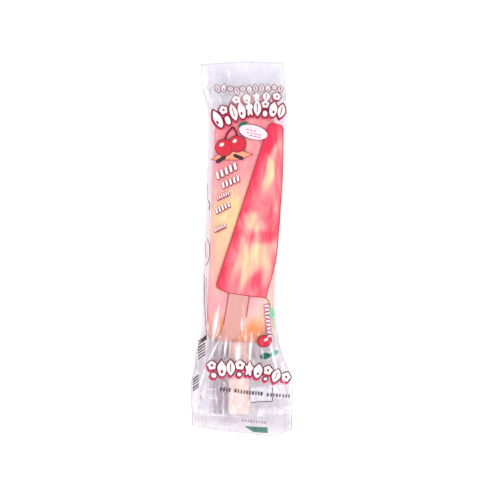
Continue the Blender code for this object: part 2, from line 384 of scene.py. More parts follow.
def streaks(across, y, seed):
    """Fine streaks that fan out with loose film, from 0 to 1 and mostly 0, where painted highlight and
    painted shade are laid.
    """
    x = across * FAN_WIDTH
    fine, broad = lattice_noise(x, y, FINE_STREAK, seed), lattice_noise(x, y, BROAD_STREAK, seed + 1)
    return ramp(fine + BROAD_SHARE * broad, *STREAK_LEVELS)


def film_marks(across, y, side):
    """Painted highlight and painted shade at each point of a film sheet, along its creases, wrinkles, streaks
    and edges, and grey in the low seal.
    """
    x = x_at(across, y)
    loose = looseness(y)
    free = loose * (1 - sealed(y)) * np.where(y > 0, TOP_STREAKS, 1 - CALM * calm(across, y))
    seed = STREAK_SEEDS[side]
    white, grey = (STREAK_SHARE * free * streaks(across, y, seed + more) for more in (0, 2))
    if side > 0:
        white = np.maximum(white, marks(CREASE_HIGHLIGHTS, x, y))
        grey = np.maximum(grey, marks(WRINKLE_SHADES, x, y))
    edge = EDGE_GREY * loose * np.exp(-(((1 - np.abs(across)) / EDGE_REACH) ** 2))
    edge = edge + SIDE_GREY * (1 - loose) * ramp(np.abs(across), *SIDES_FROM)
    edge = edge + LOW_SEAL_GREY * sealed(y) * (y < 0)
    to_cut = PACK_LENGTH / 2 - np.abs(y)
    edge = edge + CUT_GREY * np.exp(-((to_cut / CUT_REACH) ** 2))
    return np.stack([white, np.maximum(grey, edge)], -1)


# Strength of the gathers where the film is tight and where it is loose above the pop, and how much weaker
# they are at the lower right
CRINKLE_TIGHT = 0.1
TOP_CRINKLE = 0.55
CALM = 0.4
CALM_ACROSS = (0.05, 0.3)
CALM_BELOW = (-0.1, -0.09)
# The film comes free of the pop between these Y, below it and above it. It turns flat over a step before
# each seal.
LOOSE_FROM = (-0.048, -0.064)
LOOSE_ABOVE = (0.084, 0.096)
SEAL_STEP = 0.0008
RIB_PITCH = 0.0022
RIB_HEIGHT = 0.00016
SEAL_WAVE = 0.0005
WAVE_SIZE = (0.016, 0.05)
WAVE_SHIFT = (0, 7)
# Gathers of crumpled film, round on top and sharp between: length of a wave, steepness, and how far they
# lean from the pack's long axis, in metres and degrees
GATHERS = (
    (0.0125, 0.5, 3),
    (0.0082, 0.46, -6),
    (0.0054, 0.26, 9),
    (0.015, 0.16, 62),
    (0.009, 0.14, -66),
)
GATHER_TURN = 4
GATHER_BEND = 0.0018
BEND_SIZE = (0.016, 0.034)
FADE_SIZE = (0.01, 0.036)
FADE_LEVELS = (-0.6, 0.7)
SEEDS = 1000
VALLEY_ROUND = 0.03
FAN_WIDTH = 0.03
# For the front sheet and the back sheet: folds, seed of the gathers, and the stick's side that holds it off
SHEETS = {1: (FRONT_FOLDS, 31, STICK_FRONT_Z), -1: (BACK_FOLDS, 41, STICK_BACK_Z)}


def looseness(y):
    """0 where the film lies tight over the pop, 1 where it is free of it."""
    return 1 - ramp(y, LOOSE_FROM[1], LOOSE_FROM[0]) + ramp(y, *LOOSE_ABOVE)


def sealed(y):
    """1 in the seals and 0 between them."""
    top = ramp(y, TOP_SEAL_Y - SEAL_STEP, TOP_SEAL_Y)
    return top + 1 - ramp(y, BOTTOM_SEAL_Y, BOTTOM_SEAL_Y + SEAL_STEP)


def calm(across, y):
    """1 at the pack's lower right, where its film lies nearly smooth, falling to 0 round it."""
    return ramp(across, *CALM_ACROSS) * (1 - ramp(y, *CALM_BELOW))


def zigzag(t):
    """A wave of straight runs between 0 and 1, one unit long."""
    return np.abs(2 * (t % 1) - 1)


def crinkle(across, y, seed):
    """Height of the gathers that loose film falls into, in metres, fanned out with the pack."""
    x = across * FAN_WIDTH
    rng = np.random.default_rng(seed)
    lift = 0
    for wave, steep, lean in GATHERS:
        angle = math.radians(lean + rng.uniform(-GATHER_TURN, GATHER_TURN))
        bend = GATHER_BEND * lattice_noise(x, y, BEND_SIZE, int(rng.integers(SEEDS)))
        fade = ramp(lattice_noise(x, y, FADE_SIZE, int(rng.integers(SEEDS))), *FADE_LEVELS)
        along = (x * math.cos(angle) + y * math.sin(angle) + bend) / wave + rng.uniform()
        lift = lift + wave * steep / math.pi * np.sqrt(np.cos(math.pi * along) ** 2 + VALLEY_ROUND) * fade
    return lift


def sheet_z(across, y, side):
    """Height of the front sheet (side 1) or the back sheet (side -1). across runs from -1 to 1."""
    x = x_at(across, y)
    middle = CURVES["height"](y) - CURVES["droop"](y) * across**2
    bulge = np.clip(1 - np.abs(across) ** CURVES["square"](y), 0, 1) ** EDGE_POWER
    z = middle + side * CURVES["half_depth"](y) * bulge
    held = over_stick(x, y)
    seal = sealed(y)
    free = bulge * (1 - seal)
    most = np.where(y > 0, TOP_CRINKLE, 1 - CALM * calm(across, y))
    amount = CRINKLE_TIGHT + (most - CRINKLE_TIGHT) * looseness(y)
    folds, seed, stick_z = SHEETS[side]
    if side > 0:
        z = z + ridge_height(across, y) * free
    z = z + side * held * np.maximum(side * (stick_z - z), 0)
    z = z + side * (fold_height(folds, x, y) + amount * crinkle(across, y, seed)) * free
    ribs = RIB_HEIGHT * (2 * zigzag(x / RIB_PITCH) - 1)
    wave = SEAL_WAVE * lattice_noise(x, y, WAVE_SIZE, seed=51, shift=WAVE_SHIFT)
    z = z + seal * ribs + 0.5 * (seal + looseness(y)) * wave
    return np.maximum(z, 0)


def cut_edge(across, heights, peak):
    """The Y of a cut edge: two straight runs that meet at the edge's longest point."""
    left, longest, right = heights
    rise = left + (longest - left) * (across + 1) / (peak + 1)
    fall = longest + (right - longest) * (across - peak) / (1 - peak)
    return np.where(across < peak, rise, fall)


def skewed_y(across, y):
    """Y of a point, with the rows inside each seal fanned out to the cut edge."""
    top = (y - TOP_SEAL_Y) / (PACK_LENGTH / 2 - TOP_SEAL_Y)
    low = (y - BOTTOM_SEAL_Y) / (-PACK_LENGTH / 2 - BOTTOM_SEAL_Y)
    above = TOP_SEAL_Y + top * (cut_edge(across, TOP_CUT, TOP_CUT_PEAK) - TOP_SEAL_Y)
    below = BOTTOM_SEAL_Y + low * (cut_edge(across, BOTTOM_CUT, BOTTOM_CUT_PEAK) - BOTTOM_SEAL_Y)
    return np.where(y > TOP_SEAL_Y, above, np.where(y < BOTTOM_SEAL_Y, below, y))


def link(name, data):
    """Puts a mesh, a light or a camera into the scene as an object."""
    obj = bpy.data.objects.new(name, data)
    bpy.context.scene.collection.objects.link(obj)
    return obj


def add_object(name, verts, faces, material, smooth=True):
    mesh = bpy.data.meshes.new(name)
    mesh.from_pydata([tuple(v) for v in verts], [], faces)
    mesh.validate()
    if smooth:
        mesh.shade_smooth()
    mesh.materials.append(material)
    return link(name, mesh)


def to_mesh(bm, name):
    mesh = bpy.data.meshes.new(name)
    bm.to_mesh(mesh)
    bm.free()
    return mesh


def turn_outward(obj):
    bm = bmesh.new()
    bm.from_mesh(obj.data)
    bmesh.ops.recalc_face_normals(bm, faces=bm.faces)
    bm.to_mesh(obj.data)
    bm.free()


def set_attribute(mesh, name, values):
    layer = mesh.attributes.new(name, "FLOAT", "POINT")
    layer.data.foreach_set("value", values.astype(np.float32).ravel())


def grid_faces(rows, count, closed):
    """Faces between the rows of a grid, each of count points. In a closed grid the rows are rings."""
    faces = []
    for r in range(rows - 1):
        for k in range(count if closed else count - 1):
            after = (k + 1) % count
            faces.append((r * count + k, (r + 1) * count + k, (r + 1) * count + after, r * count + after))
    return faces


def srgb(red, green, blue, share=1):
    """A colour given as on a screen, from 0 to 255, in the linear values that shaders use, times a share."""
    parts = [c / 255 for c in (red, green, blue)]
    linear = [c / 12.92 if c <= 0.04045 else ((c + 0.055) / 1.055) ** 2.4 for c in parts]
    return (*[c * share for c in linear], 1)


SPOT_EDGE = (1.15, 0.35)


class Nodes:
    """The nodes of a material or of the world. Each method adds what it needs and gives back its output."""

    def __init__(self, owner, space="Object"):
        self.owner = owner
        self.tree = owner.node_tree
        self.where = self.node("TexCoord").outputs[space]

    def node(self, kind, *values, **named):
        """A node with its first inputs, and those named with _ for spaces, linked or set."""
        node = self.tree.nodes.new("ShaderNode" + kind)
        inputs = [(node.inputs[k], value) for k, value in enumerate(values)]
        inputs += [(node.inputs[name.replace("_", " ")], value) for name, value in named.items()]
        for socket, value in inputs:
            self.feed(socket, value)
        return node

    def feed(self, socket, value):
        if isinstance(value, bpy.types.NodeSocket):
            self.tree.links.new(value, socket)
        else:
            socket.default_value = value

    def add(self, kind, *values, **named):
        return self.node(kind, *values, **named).outputs[0]

    def math(self, operation, *values, kind="Math", output=0):
        node = self.node(kind)
        node.operation = operation
        for socket, value in zip(node.inputs, values):
            self.feed(socket, value)
        return node.outputs[output]

    def plus(self, a, b):
        return self.math("ADD", a, b)

    def minus(self, a, b):
        return self.math("SUBTRACT", a, b)

    def times(self, a, b, more=0):
        """a times b, plus more."""
        return self.math("MULTIPLY_ADD", a, b, more)

    def between(self, value, low, high, to_low=0, to_high=1, smooth=True):
        """Where a value lies between low and high, spread from to_low to to_high."""
        node = self.node("MapRange", value, low, high, to_low, to_high)
        node.interpolation_type = "SMOOTHSTEP" if smooth else "LINEAR"
        return node.outputs[0]

    def axes(self):
        return self.node("SeparateXYZ", self.where).outputs

    def noise(self, scale, detail=2, distortion=0, along=1, turn=0):
        where = self.where
        if along != 1:
            where = self.add("Mapping", where, Scale=(1, along, 1), Rotation=(0, 0, turn))
        return self.add("TexNoise", where, Scale=scale, Detail=detail, Distortion=distortion)

    def bump(self, height, strength, distance):
        return self.add("Bump", Height=height, Strength=strength, Distance=distance)

    def tones(self, value, stops):
        node = self.node("ValToRGB", value)
        elements = node.color_ramp.elements
        while len(elements) < len(stops):
            elements.new(0.5)
        for element, (position, colour) in zip(elements, stops):
            element.position = position
            element.color = colour
        return node.outputs[0]

    def mix(self, share, a, b):
        """Colour a, with a share of colour b."""
        node = self.tree.nodes.new("ShaderNodeMix")
        node.data_type = "RGBA"
        # A mix node keeps its share and its two colours at these inputs, and its colour at output 2
        for k, value in ((0, share), (6, a), (7, b)):
            self.feed(node.inputs[k], value)
        return node.outputs[2]

    def spot(self, where, place, reach):
        """1 at a place, falling to 0 at an ellipsoid round it."""
        away = self.math("SUBTRACT", where, place, kind="VectorMath")
        away = self.math("DIVIDE", away, reach, kind="VectorMath")
        return self.between(self.math("LENGTH", away, kind="VectorMath", output="Value"), *SPOT_EDGE)

    def marked(self, name):
        """A value that a mesh carries at its points."""
        node = self.node("Attribute")
        node.attribute_name = name
        return node.outputs["Fac"]

    def shown(self, surface):
        self.node("OutputMaterial", surface)
        return self.owner

    def surface(self, **inputs):
        return self.shown(self.add("BsdfPrincipled", **inputs))


def new_material(name):
    material = bpy.data.materials.new(name)
    material.use_nodes = True
    material.node_tree.nodes.clear()
    return Nodes(material)


# A noise is given as scale, detail and distortion, then a factor on Y, under 1 for long streaks, and a turn
FILM_TINT = (0.962, 0.955, 0.972, 1)
HAZE_TOP = srgb(178, 178, 192)
HAZE_LOW = srgb(158, 146, 156)
# The haze changes its colour between these Y
HAZE_CHANGES = (-0.02, 0.06)
# Colours of the painted highlight and the painted shade laid on the film and its print
HIGHLIGHT_TONE = srgb(250, 248, 252)
SHADE_TONE = srgb(120, 82, 98)
FILM_IOR = 1.5
FILM_GLOSS = 1.6
FILM_ROUGHNESS = 0.17
FILM_RIPPLE = (420, 2, 0, 0.16)
FILM_BUMP = (0.06, 0.0002)
MOST_SHINE = 0.3
CLINGING_SHINE = 0.3
# In crumpled film the cloud is partly real haze and partly painted shade: its grey patches stand in for the
# shade of overlapping pleats
CLOUDS = (130, 3, 1, 0.45)
CLOUD_LEVELS = (0.36, 0.66)
# Share of cloudy film where it lies tight over the pop, where it is crumpled, and in the seals
HAZE_TIGHT = (0.01, 0.03)
HAZE_LOOSE = (0.09, 0.17)
HAZE_SEAL = 0.03
SEALS_FROM = (0.1095, 0.1125)
# The haze that the marks' shares of it are divided by is never less than this
LEAST_HAZE = 0.001
MOST_HAZE = 0.92
HIGHLIGHT_MARK = "painted_highlight"
SHADE_MARK = "painted_shade"


def film_material(name, tint, haze_share=1):
    """Thin clear film: see-through, with a mirror gloss at its creases, cloudy where it is crumpled, and with
    the painted highlights and painted shade that its mesh carries.
    """
    nodes = new_material(name)
    y = nodes.axes()[1]
    normal = nodes.bump(nodes.noise(*FILM_RIPPLE), *FILM_BUMP)
    clear = nodes.add("BsdfTransparent", tint)
    gloss = nodes.add("BsdfGlossy", Roughness=FILM_ROUGHNESS, Normal=normal)
    fresnel = nodes.add("Fresnel", IOR=FILM_IOR, Normal=normal)
    shine = nodes.math("MINIMUM", nodes.times(fresnel, FILM_GLOSS), MOST_SHINE)
    low = nodes.between(y, LOOSE_FROM[1], LOOSE_FROM[0], 1, 0)
    loose = nodes.plus(low, nodes.between(y, *LOOSE_ABOVE))
    shine = nodes.times(shine, nodes.between(loose, 0, 1, CLINGING_SHINE, 1))
    thin = nodes.add("MixShader", shine, clear, gloss)
    least, most = (nodes.between(loose, 0, 1, *span) for span in zip(HAZE_TIGHT, HAZE_LOOSE))
    haze = nodes.between(nodes.noise(*CLOUDS), *CLOUD_LEVELS, least, most)
    ends = nodes.between(nodes.math("ABSOLUTE", y), *SEALS_FROM, 0, HAZE_SEAL)
    haze = nodes.times(nodes.plus(haze, ends), haze_share)
    # The painted highlight and painted shade that the mesh carries raise the cloud's share and turn its
    # colour light or dark
    white, grey = nodes.marked(HIGHLIGHT_MARK), nodes.marked(SHADE_MARK)
    haze = nodes.math("MINIMUM", nodes.plus(haze, nodes.plus(white, grey)), MOST_HAZE)
    cloud = nodes.mix(nodes.between(y, *HAZE_CHANGES), HAZE_LOW, HAZE_TOP)
    divisor = nodes.math("MAXIMUM", haze, LEAST_HAZE)
    for mark, colour in ((grey, SHADE_TONE), (white, HIGHLIGHT_TONE)):
        cloud = nodes.mix(nodes.math("DIVIDE", mark, divisor), cloud, colour)
    milky = nodes.add("BsdfDiffuse", cloud)
    return nodes.shown(nodes.add("MixShader", haze, thin, milky))


INK_SHARE = 0.68
INK_ROUGHNESS = 0.35
INK_SPECULAR = 0.15
# Shares of the film's painted highlight and painted shade laid on the print
INK_HIGHLIGHT = 0.75
INK_SHADE = 0.5
INK_MOTTLE = (900, 2)
MOTTLE_SHARE = 0.35


def ink(*screen):
    """A printed colour as it should look on a screen under this scene's bright light."""
    return srgb(*screen, share=INK_SHARE)


def inked(nodes, colour, opacity=1):
    """A surface of ink: lighter with painted highlights along the film's creases, and darker with painted
    shade where the film is wrinkled.
    """
    for mark, share, tone in ((SHADE_MARK, INK_SHADE, SHADE_TONE), (HIGHLIGHT_MARK, INK_HIGHLIGHT, HIGHLIGHT_TONE)):
        colour = nodes.mix(nodes.times(nodes.marked(mark), share), colour, tone)
    return nodes.surface(
        Base_Color=colour, Roughness=INK_ROUGHNESS, Specular_IOR_Level=INK_SPECULAR, Alpha=opacity
    )


def ink_material(name, colour, deeper, opacity=1):
    """Printed ink: a flat colour with the faint mottle of print on film."""
    nodes = new_material(name)
    mottle = nodes.times(nodes.noise(*INK_MOTTLE), MOTTLE_SHARE)
    return inked(nodes, nodes.mix(mottle, colour, deeper), opacity)


POP_LOW_Y = -0.0622
POP_LENGTH = POP_TIP_Y - POP_LOW_Y
POP_TAPER = 0.965
POP_BASE_X = -0.0017
POP_LEAN = math.radians(1.9)
POP_HALF_DEPTH = 0.0094
# Half size of the pop, how far its tip is rounded and by what power, and how far its base is rounded
POP_ACROSS = (0.0224, 0.017, 2.4, 0.0075)
POP_DEEP = (POP_HALF_DEPTH, 0.008, 2.2, 0.0035)
POP_SQUARE = 3.9
POP_Z = 0.01
POP_MIDDLE_X = POP_BASE_X - POP_LOW_Y * math.tan(POP_LEAN)
POP_ROWS = 190
POP_AROUND = 112
DENT = 0.00018
DENT_SIZE = (0.009, 0.009)
DENT_SHIFT = (3, 5)

ICE_SHARE = 0.735


def ice_colour(*screen):
    """A colour of the ice as it should look on a screen under this scene's bright light."""
    return srgb(*screen, share=ICE_SHARE)


# The ice's colours along it, from its base to its tip
ICE_BANDS = (
    (0, ice_colour(244, 166, 136)),
    (0.07, ice_colour(248, 202, 166)),
    (0.13, ice_colour(250, 184, 182)),
    (0.2, ice_colour(250, 159, 168)),
    (0.26, ice_colour(248, 168, 166)),
    (0.33, ice_colour(250, 180, 156)),
    (0.43, ice_colour(252, 194, 150)),
    (0.54, ice_colour(252, 208, 142)),
    (0.63, ice_colour(252, 210, 142)),
    (0.69, ice_colour(250, 172, 152)),
    (0.79, ice_colour(250, 142, 148)),
    (1, ice_colour(250, 116, 130)),
)
ICE_PINK = ice_colour(252, 150, 166)
ICE_CREAM = ice_colour(254, 226, 196)
ICE_ORANGE = ice_colour(251, 140, 54)
ICE_FROST = ice_colour(255, 236, 234)
# The bands wander along the pop by this much, and lean across it
ICE_WANDER = (24, 2, 0.6)
ICE_DRIFT = 0.046
BANDS_LEAN = -0.5
ICE_SWIRL = (70, 2, 1.6, 0.4)
ICE_VEINS = (95, 2, 1.2, 0.32, 0.2)
FROST = (260, 4)
FROST_SHARE = 0.1
GRAIN = (1400, 3)
ICE_BUMP = (0.5, 0.0003)
ICE_ROUGHNESS = (0.3, 0.38)
ICE_BODY = {"Subsurface_Weight": 0.15, "Subsurface_Scale": 0.004, "Specular_IOR_Level": 0.35}
# Where other tones come in: the levels between which each rises, its strength and its colour
SWIRL_TONE = ((0.5, 0.7), 0.35, ICE_PINK)
VEIN_TONE = ((0.54, 0.72), 0.35, ICE_CREAM)
LEFT_RIM = ((-0.015, -0.0215), 0.45, ICE_PINK)
RIGHT_RIM = ((0.015, 0.0215), 0.55, ICE_CREAM)
# Where a deeper orange shows in the ice: centre, reach in metres, and strength
ORANGE_PLACES = (
    ((0.0085, -0.0565, 0.019), (0.0095, 0.012, 0.03), 0.98),
    ((-0.013, -0.053, 0.019), (0.0026, 0.01, 0.03), 0.85),
    ((-0.0218, -0.05, 0.019), (0.002, 0.007, 0.03), 0.45),
    ((-0.0165, -0.0455, 0.019), (0.007, 0.0095, 0.03), 0.26),
    ((-0.002, -0.06, 0.019), (0.0045, 0.007, 0.03), 0.85),
)


def ice_material():
    """Frozen cherry and pineapple ice, swirled along the pop, with a frosty surface."""
    nodes = new_material("swirled_ice")
    x, y, _ = nodes.axes()
    wander = nodes.times(nodes.noise(*ICE_WANDER), ICE_DRIFT, -ICE_DRIFT / 2)
    leaning = nodes.times(x, BANDS_LEAN, y)
    along = nodes.between(nodes.plus(leaning, wander), POP_BASE_Y, POP_TIP_Y, smooth=False)
    colour = nodes.tones(along, ICE_BANDS)
    aside = nodes.minus(x, nodes.times(y, math.tan(POP_LEAN), POP_MIDDLE_X))
    swirl, veins = nodes.noise(*ICE_SWIRL), nodes.noise(*ICE_VEINS)
    looks = ((swirl, SWIRL_TONE), (veins, VEIN_TONE), (aside, LEFT_RIM), (aside, RIGHT_RIM))
    for value, (levels, strength, tone) in looks:
        colour = nodes.mix(nodes.times(nodes.between(value, *levels), strength), colour, tone)
    for place, reach, strength in ORANGE_PLACES:
        colour = nodes.mix(nodes.times(nodes.spot(nodes.where, place, reach), strength), colour, ICE_ORANGE)
    frost, grain = nodes.noise(*FROST), nodes.noise(*GRAIN)
    colour = nodes.mix(nodes.times(frost, FROST_SHARE), colour, ICE_FROST)
    normal = nodes.bump(nodes.plus(frost, grain), *ICE_BUMP)
    roughness = nodes.times(grain, *ICE_ROUGHNESS)
    return nodes.surface(Base_Color=colour, Roughness=roughness, Normal=normal, **ICE_BODY)


WOOD_GRAIN = (900, 3, 0.2, 0.05)
WOOD_STREAKS = (160, 2, 0.4, 0.08)
WOOD_TONES = ((0.3, srgb(222, 186, 172)), (0.5, srgb(236, 206, 196)), (0.75, srgb(242, 216, 208)))
WOOD_ROUGHNESS = 0.55
WOOD_BUMP = (0.3, 0.0002)


def wood_material():
    """Pale birch with a fine straight grain along the stick."""
    nodes = new_material("birch")
    grain = nodes.noise(*WOOD_GRAIN)
    tone = nodes.times(nodes.plus(grain, nodes.noise(*WOOD_STREAKS)), 0.5)
    colour = nodes.tones(tone, WOOD_TONES)
    return nodes.surface(Base_Color=colour, Roughness=WOOD_ROUGHNESS, Normal=nodes.bump(grain, *WOOD_BUMP))


# The left and right sides of the printed pop: x at the pack's middle and x for each metre of y
PICTURE_LEFT = (-0.01, 0.3352)
PICTURE_RIGHT = (0.02, 0.096)
MARBLE = (
    (0.26, ink(238, 50, 82)),
    (0.4, ink(250, 82, 100)),
    (0.52, ink(253, 118, 130)),
    (0.63, ink(254, 150, 148)),
    (0.73, ink(253, 184, 156)),
    (0.84, ink(252, 208, 160)),
    (0.95, ink(253, 226, 184)),
)
# The marbling's streaks, how they become a tone, as factor and start, and how its places sway and lean
MARBLE_FLOW = (95, 2, 1.4, 0.3, -0.22)
FLOW_TONES = (0.74, -0.06)
MARBLE_SWAY = (34, 1)
MARBLE_DRIFT = 0.02
MARBLE_LEAN = 0.17
# Shares of the picture's width between which its red edge fades, and how far the tone rises there
RED_EDGE = (0.02, 0.36)
RED_EDGE_TONE = 0.2
# Lighter and deeper places of the marbling: centre and reach in metres, and how far they shift its tone
MARBLE_PLACES = (
    ((0.0208, 0.052), (0.0044, 0.0215), 0.36),
    ((0.0088, -0.003), (0.0038, 0.02), 0.28),
    ((0.0085, 0.018), (0.01, 0.0085), 0.27),
    ((0.0155, -0.002), (0.008, 0.013), 0.2),
    ((0.002, -0.012), (0.0042, 0.023), 0.2),
    ((-0.002, -0.002), (0.006, 0.018), 0.18),
    ((0.014, 0.0075), (0.01, 0.0055), -0.15),
    ((0.017, 0.078), (0.012, 0.02), -0.2),
    ((0.009, -0.0215), (0.0056, 0.008), -0.1),
    ((0.0172, -0.016), (0.005, 0.011), 0.17),
    ((0.0225, 0.033), (0.004, 0.01), 0.08),
)


def marbled_ink():
    """The printed pop's marbling: red at its left edge, streaks of pink, peach and cream along it."""
    nodes = new_material("marbled_ink")
    x, y, _ = nodes.axes()
    left, right = (nodes.times(y, slope, start) for start, slope in (PICTURE_LEFT, PICTURE_RIGHT))
    share = nodes.math("DIVIDE", nodes.minus(x, left), nodes.minus(right, left))
    tone = nodes.times(nodes.noise(*MARBLE_FLOW), *FLOW_TONES)
    tone = nodes.plus(tone, nodes.times(nodes.between(share, *RED_EDGE), RED_EDGE_TONE))
    sway = nodes.times(nodes.noise(*MARBLE_SWAY), MARBLE_DRIFT, -MARBLE_DRIFT / 2)
    flat = nodes.add("CombineXYZ", nodes.times(y, -MARBLE_LEAN, nodes.plus(x, sway)), y)
    for (px, py), reach, amount in MARBLE_PLACES:
        mark = nodes.spot(flat, (px - MARBLE_LEAN * py, py, 0), (*reach, 1))
        tone = nodes.times(mark, amount, tone)
    return inked(nodes, nodes.tones(tone, MARBLE))


FLOOR_MOTTLE = (6, 2)
FLOOR_TONES = ((0, (0.88, 0.88, 0.89, 1)), (1, (0.91, 0.91, 0.91, 1)))
FLOOR_ROUGHNESS = 0.9
FLOOR_GLOW = 0.14
WHITE = (1, 1, 1, 1)


def floor_material():
    """A pale table that is lit a little from inside, so that the pack stands on it with hardly a shadow."""
    nodes = new_material("pale_floor")
    tone = nodes.tones(nodes.noise(*FLOOR_MOTTLE), FLOOR_TONES)
    glow = {"Emission_Color": WHITE, "Emission_Strength": FLOOR_GLOW}
    return nodes.surface(Base_Color=tone, Roughness=FLOOR_ROUGHNESS, **glow)


BACK_COLUMNS = 90
FRONT_COLUMNS = 2 * BACK_COLUMNS
# Stretches of the film from its top: top Y, low Y and how many rows of faces
FILM_ROWS = ((0.1266, 0.084, 76), (0.084, -0.044, 112), (-0.044, -0.1135, 142), (-0.1135, -0.1266, 18))
EDGE_PACKING = 0.4


def film_rows():
    ys = [FILM_ROWS[0][0]]
    for top, low, count in FILM_ROWS:
        ys += [top + (low - top) * (k + 1) / count for k in range(count)]
    return np.array(ys)


def sheet_grid(columns, side):
    """Points of one sheet, row by row, closer together near its side edges, where it turns down."""
    t = np.linspace(-1, 1, columns + 1)
    share = (1 - EDGE_PACKING) * t + EDGE_PACKING * np.sin(t * math.pi / 2)
    across, y = np.meshgrid(share, film_rows())
    points = np.stack([x_at(across, y), skewed_y(across, y), sheet_z(across, y, side)], -1)
    return np.concatenate([points, film_marks(across, y, side)], axis=-1)


def make_film(material):
    """The whole film as one closed surface: the front sheet, and the back sheet that it is sealed to."""
    front, back = sheet_grid(FRONT_COLUMNS, 1), sheet_grid(BACK_COLUMNS, -1)
    rings = np.concatenate([front, back[:, -2:0:-1]], axis=1)
    rows, count = rings.shape[:2]
    faces = grid_faces(rows, count, closed=True)
    # The cut ends are closed by faces that join two columns of the front to one of the back
    for row in (0, rows - 1):
        for k in range(BACK_COLUMNS):
            corners = (2 * k, 2 * k + 1, 2 * k + 2, (count - k - 1), (count - k) % count)
            faces.append([row * count + c for c in dict.fromkeys(corners)])
    film = add_object("film", rings[..., :3].reshape(-1, 3), faces, material)
    turn_outward(film)
    set_attribute(film.data, HIGHLIGHT_MARK, rings[..., 3])
    set_attribute(film.data, SHADE_MARK, rings[..., 4])
    return film


def pop_half(s, most, tip, power, base):
    """Half the pop's width or depth at a distance s from its base, with both ends rounded."""
    taper = 1 + (POP_TAPER - 1) * s / POP_LENGTH
    near_tip = np.clip((s - (POP_LENGTH - tip)) / tip, 0, 1)
    inset = base * (1 - np.sqrt(1 - np.clip(1 - s / base, 0, 1) ** 2))
    return (most * taper) * (1 - near_tip**power) ** (1 / power) - inset


def make_pop(material):
    """The ice: a bar with rounded sides and tip, moulded a little narrower at the tip."""
    s = POP_LENGTH * (1 - np.cos(np.linspace(0, 1, POP_ROWS) * math.pi)) / 2
    half_width, half_depth = pop_half(s, *POP_ACROSS)[:, None], pop_half(s, *POP_DEEP)[:, None]
    angle = np.linspace(0, 2 * math.pi, POP_AROUND, endpoint=False)
    across, up = (np.sign(c) * np.abs(c) ** (2 / POP_SQUARE) for c in (np.cos(angle), np.sin(angle)))
    u, z = half_width * across, half_depth * up
    v = np.repeat(s[:, None], POP_AROUND, 1)
    dents = DENT * lattice_noise(v, u, DENT_SIZE, seed=61, shift=DENT_SHIFT) * np.sign(z)
    z = POP_Z + z + dents * np.clip(half_depth / POP_HALF_DEPTH, 0, 1)
    x = POP_BASE_X + u * math.cos(POP_LEAN) + v * math.sin(POP_LEAN)
    y = POP_LOW_Y + v * math.cos(POP_LEAN) - u * math.sin(POP_LEAN)
    faces = grid_faces(POP_ROWS, POP_AROUND, closed=True)
    faces.append(list(range(POP_AROUND))[::-1])
    faces.append([(POP_ROWS - 1) * POP_AROUND + k for k in range(POP_AROUND)])
    pop = add_object("ice", np.stack([x, y, z], -1).reshape(-1, 3), faces, material)
    turn_outward(pop)
    return pop


STICK_THICKNESS = 0.0022
STICK_LENGTH = 0.114
STICK_CORNER = 0.0024
STICK_BEVEL = 0.0003
STICK_SHARP = math.radians(35)
LEVEL = 1e-9


def rounded_box(cx, cy, half_x, half_y, radius, steps=6):
    """Outline of a rectangle with round corners, counterclockwise."""
    points = []
    for k, (sx, sy) in enumerate(((1, 1), (-1, 1), (-1, -1), (1, -1))):
        for j in range(steps + 1):
            angle = math.pi / 2 * (k + j / steps)
            corner = (cx + sx * (half_x - radius), cy + sy * (half_y - radius))
            points.append((corner[0] + radius * math.cos(angle), corner[1] + radius * math.sin(angle)))
    return points


def make_stick(material):
    """The flat wooden stick, from inside the ice to its rounded end."""
    middle_y = STICK_END_Y + STICK_LENGTH / 2
    outline = rounded_box(STICK_X, middle_y, STICK_WIDTH / 2, STICK_LENGTH / 2, STICK_CORNER)
    bm = bmesh.new()
    low = POP_Z - STICK_THICKNESS / 2
    face = bm.faces.new([bm.verts.new((x, y, low)) for x, y in outline])
    top = bmesh.ops.extrude_face_region(bm, geom=[face])["geom"]
    moved = [v for v in top if isinstance(v, bmesh.types.BMVert)]
    bmesh.ops.translate(bm, verts=moved, vec=(0, 0, STICK_THICKNESS))
    rims = [e for e in bm.edges if abs(e.verts[0].co.z - e.verts[1].co.z) < LEVEL]
    bmesh.ops.bevel(bm, geom=rims, offset=STICK_BEVEL, segments=3, profile=0.5, affect="EDGES")
    bmesh.ops.recalc_face_normals(bm, faces=bm.faces)
    mesh = to_mesh(bm, "stick")
    mesh.shade_smooth()
    mesh.set_sharp_from_angle(angle=STICK_SHARP)
    mesh.materials.append(material)
    return link("stick", mesh)


# Print shapes are flat outlines in millimetres, seen from the front. Each list of them is laid along the
# outer side of a film sheet as one piece.
FINE_STEP = 0.0004
BROAD_STEP = 0.0008
LAYER_GAP = 0.00005
FILM_GAP = 0.00007
SLOPE_STEP = 0.0001
PRINT_REACH = 0.995
CUT_NEAR = 1e-7
SHARPEST_GROWN = 0.5
# Forms of the motifs: how a drop narrows to its point, how deep the notches of a blossom and a star are,
# and the dot in a drop, as its place below the middle, half width and half height
DROP_NARROWS = 0.85
DROP_POWER = 2.2
PETALS = 5
PETAL_NOTCH = 0.28
PETAL_POWER = 0.7
STAR_POINTS = 5
STAR_NOTCH = 0.44
DROP_DOT = (0.2, 0.14, 0.1)
LEAF_STEPS = 14
PILL_STEPS = 8


def turned(points, turn, cx, cy):
    c, s = math.cos(math.radians(turn)), math.sin(math.radians(turn))
    return [(cx + u * c - v * s, cy + u * s + v * c) for u, v in points]


def lobed(cx, cy, width, height, turn, steps, reach, start=0):
    """A closed outline round a centre. reach gives its share of the width and of the height at an angle."""
    points = []
    for k in range(steps):
        angle = 2 * math.pi * k / steps + start
        across, up = reach(angle)
        points.append((width / 2 * across * math.cos(angle), height / 2 * up * math.sin(angle)))
    return turned(points, turn, cx, cy)


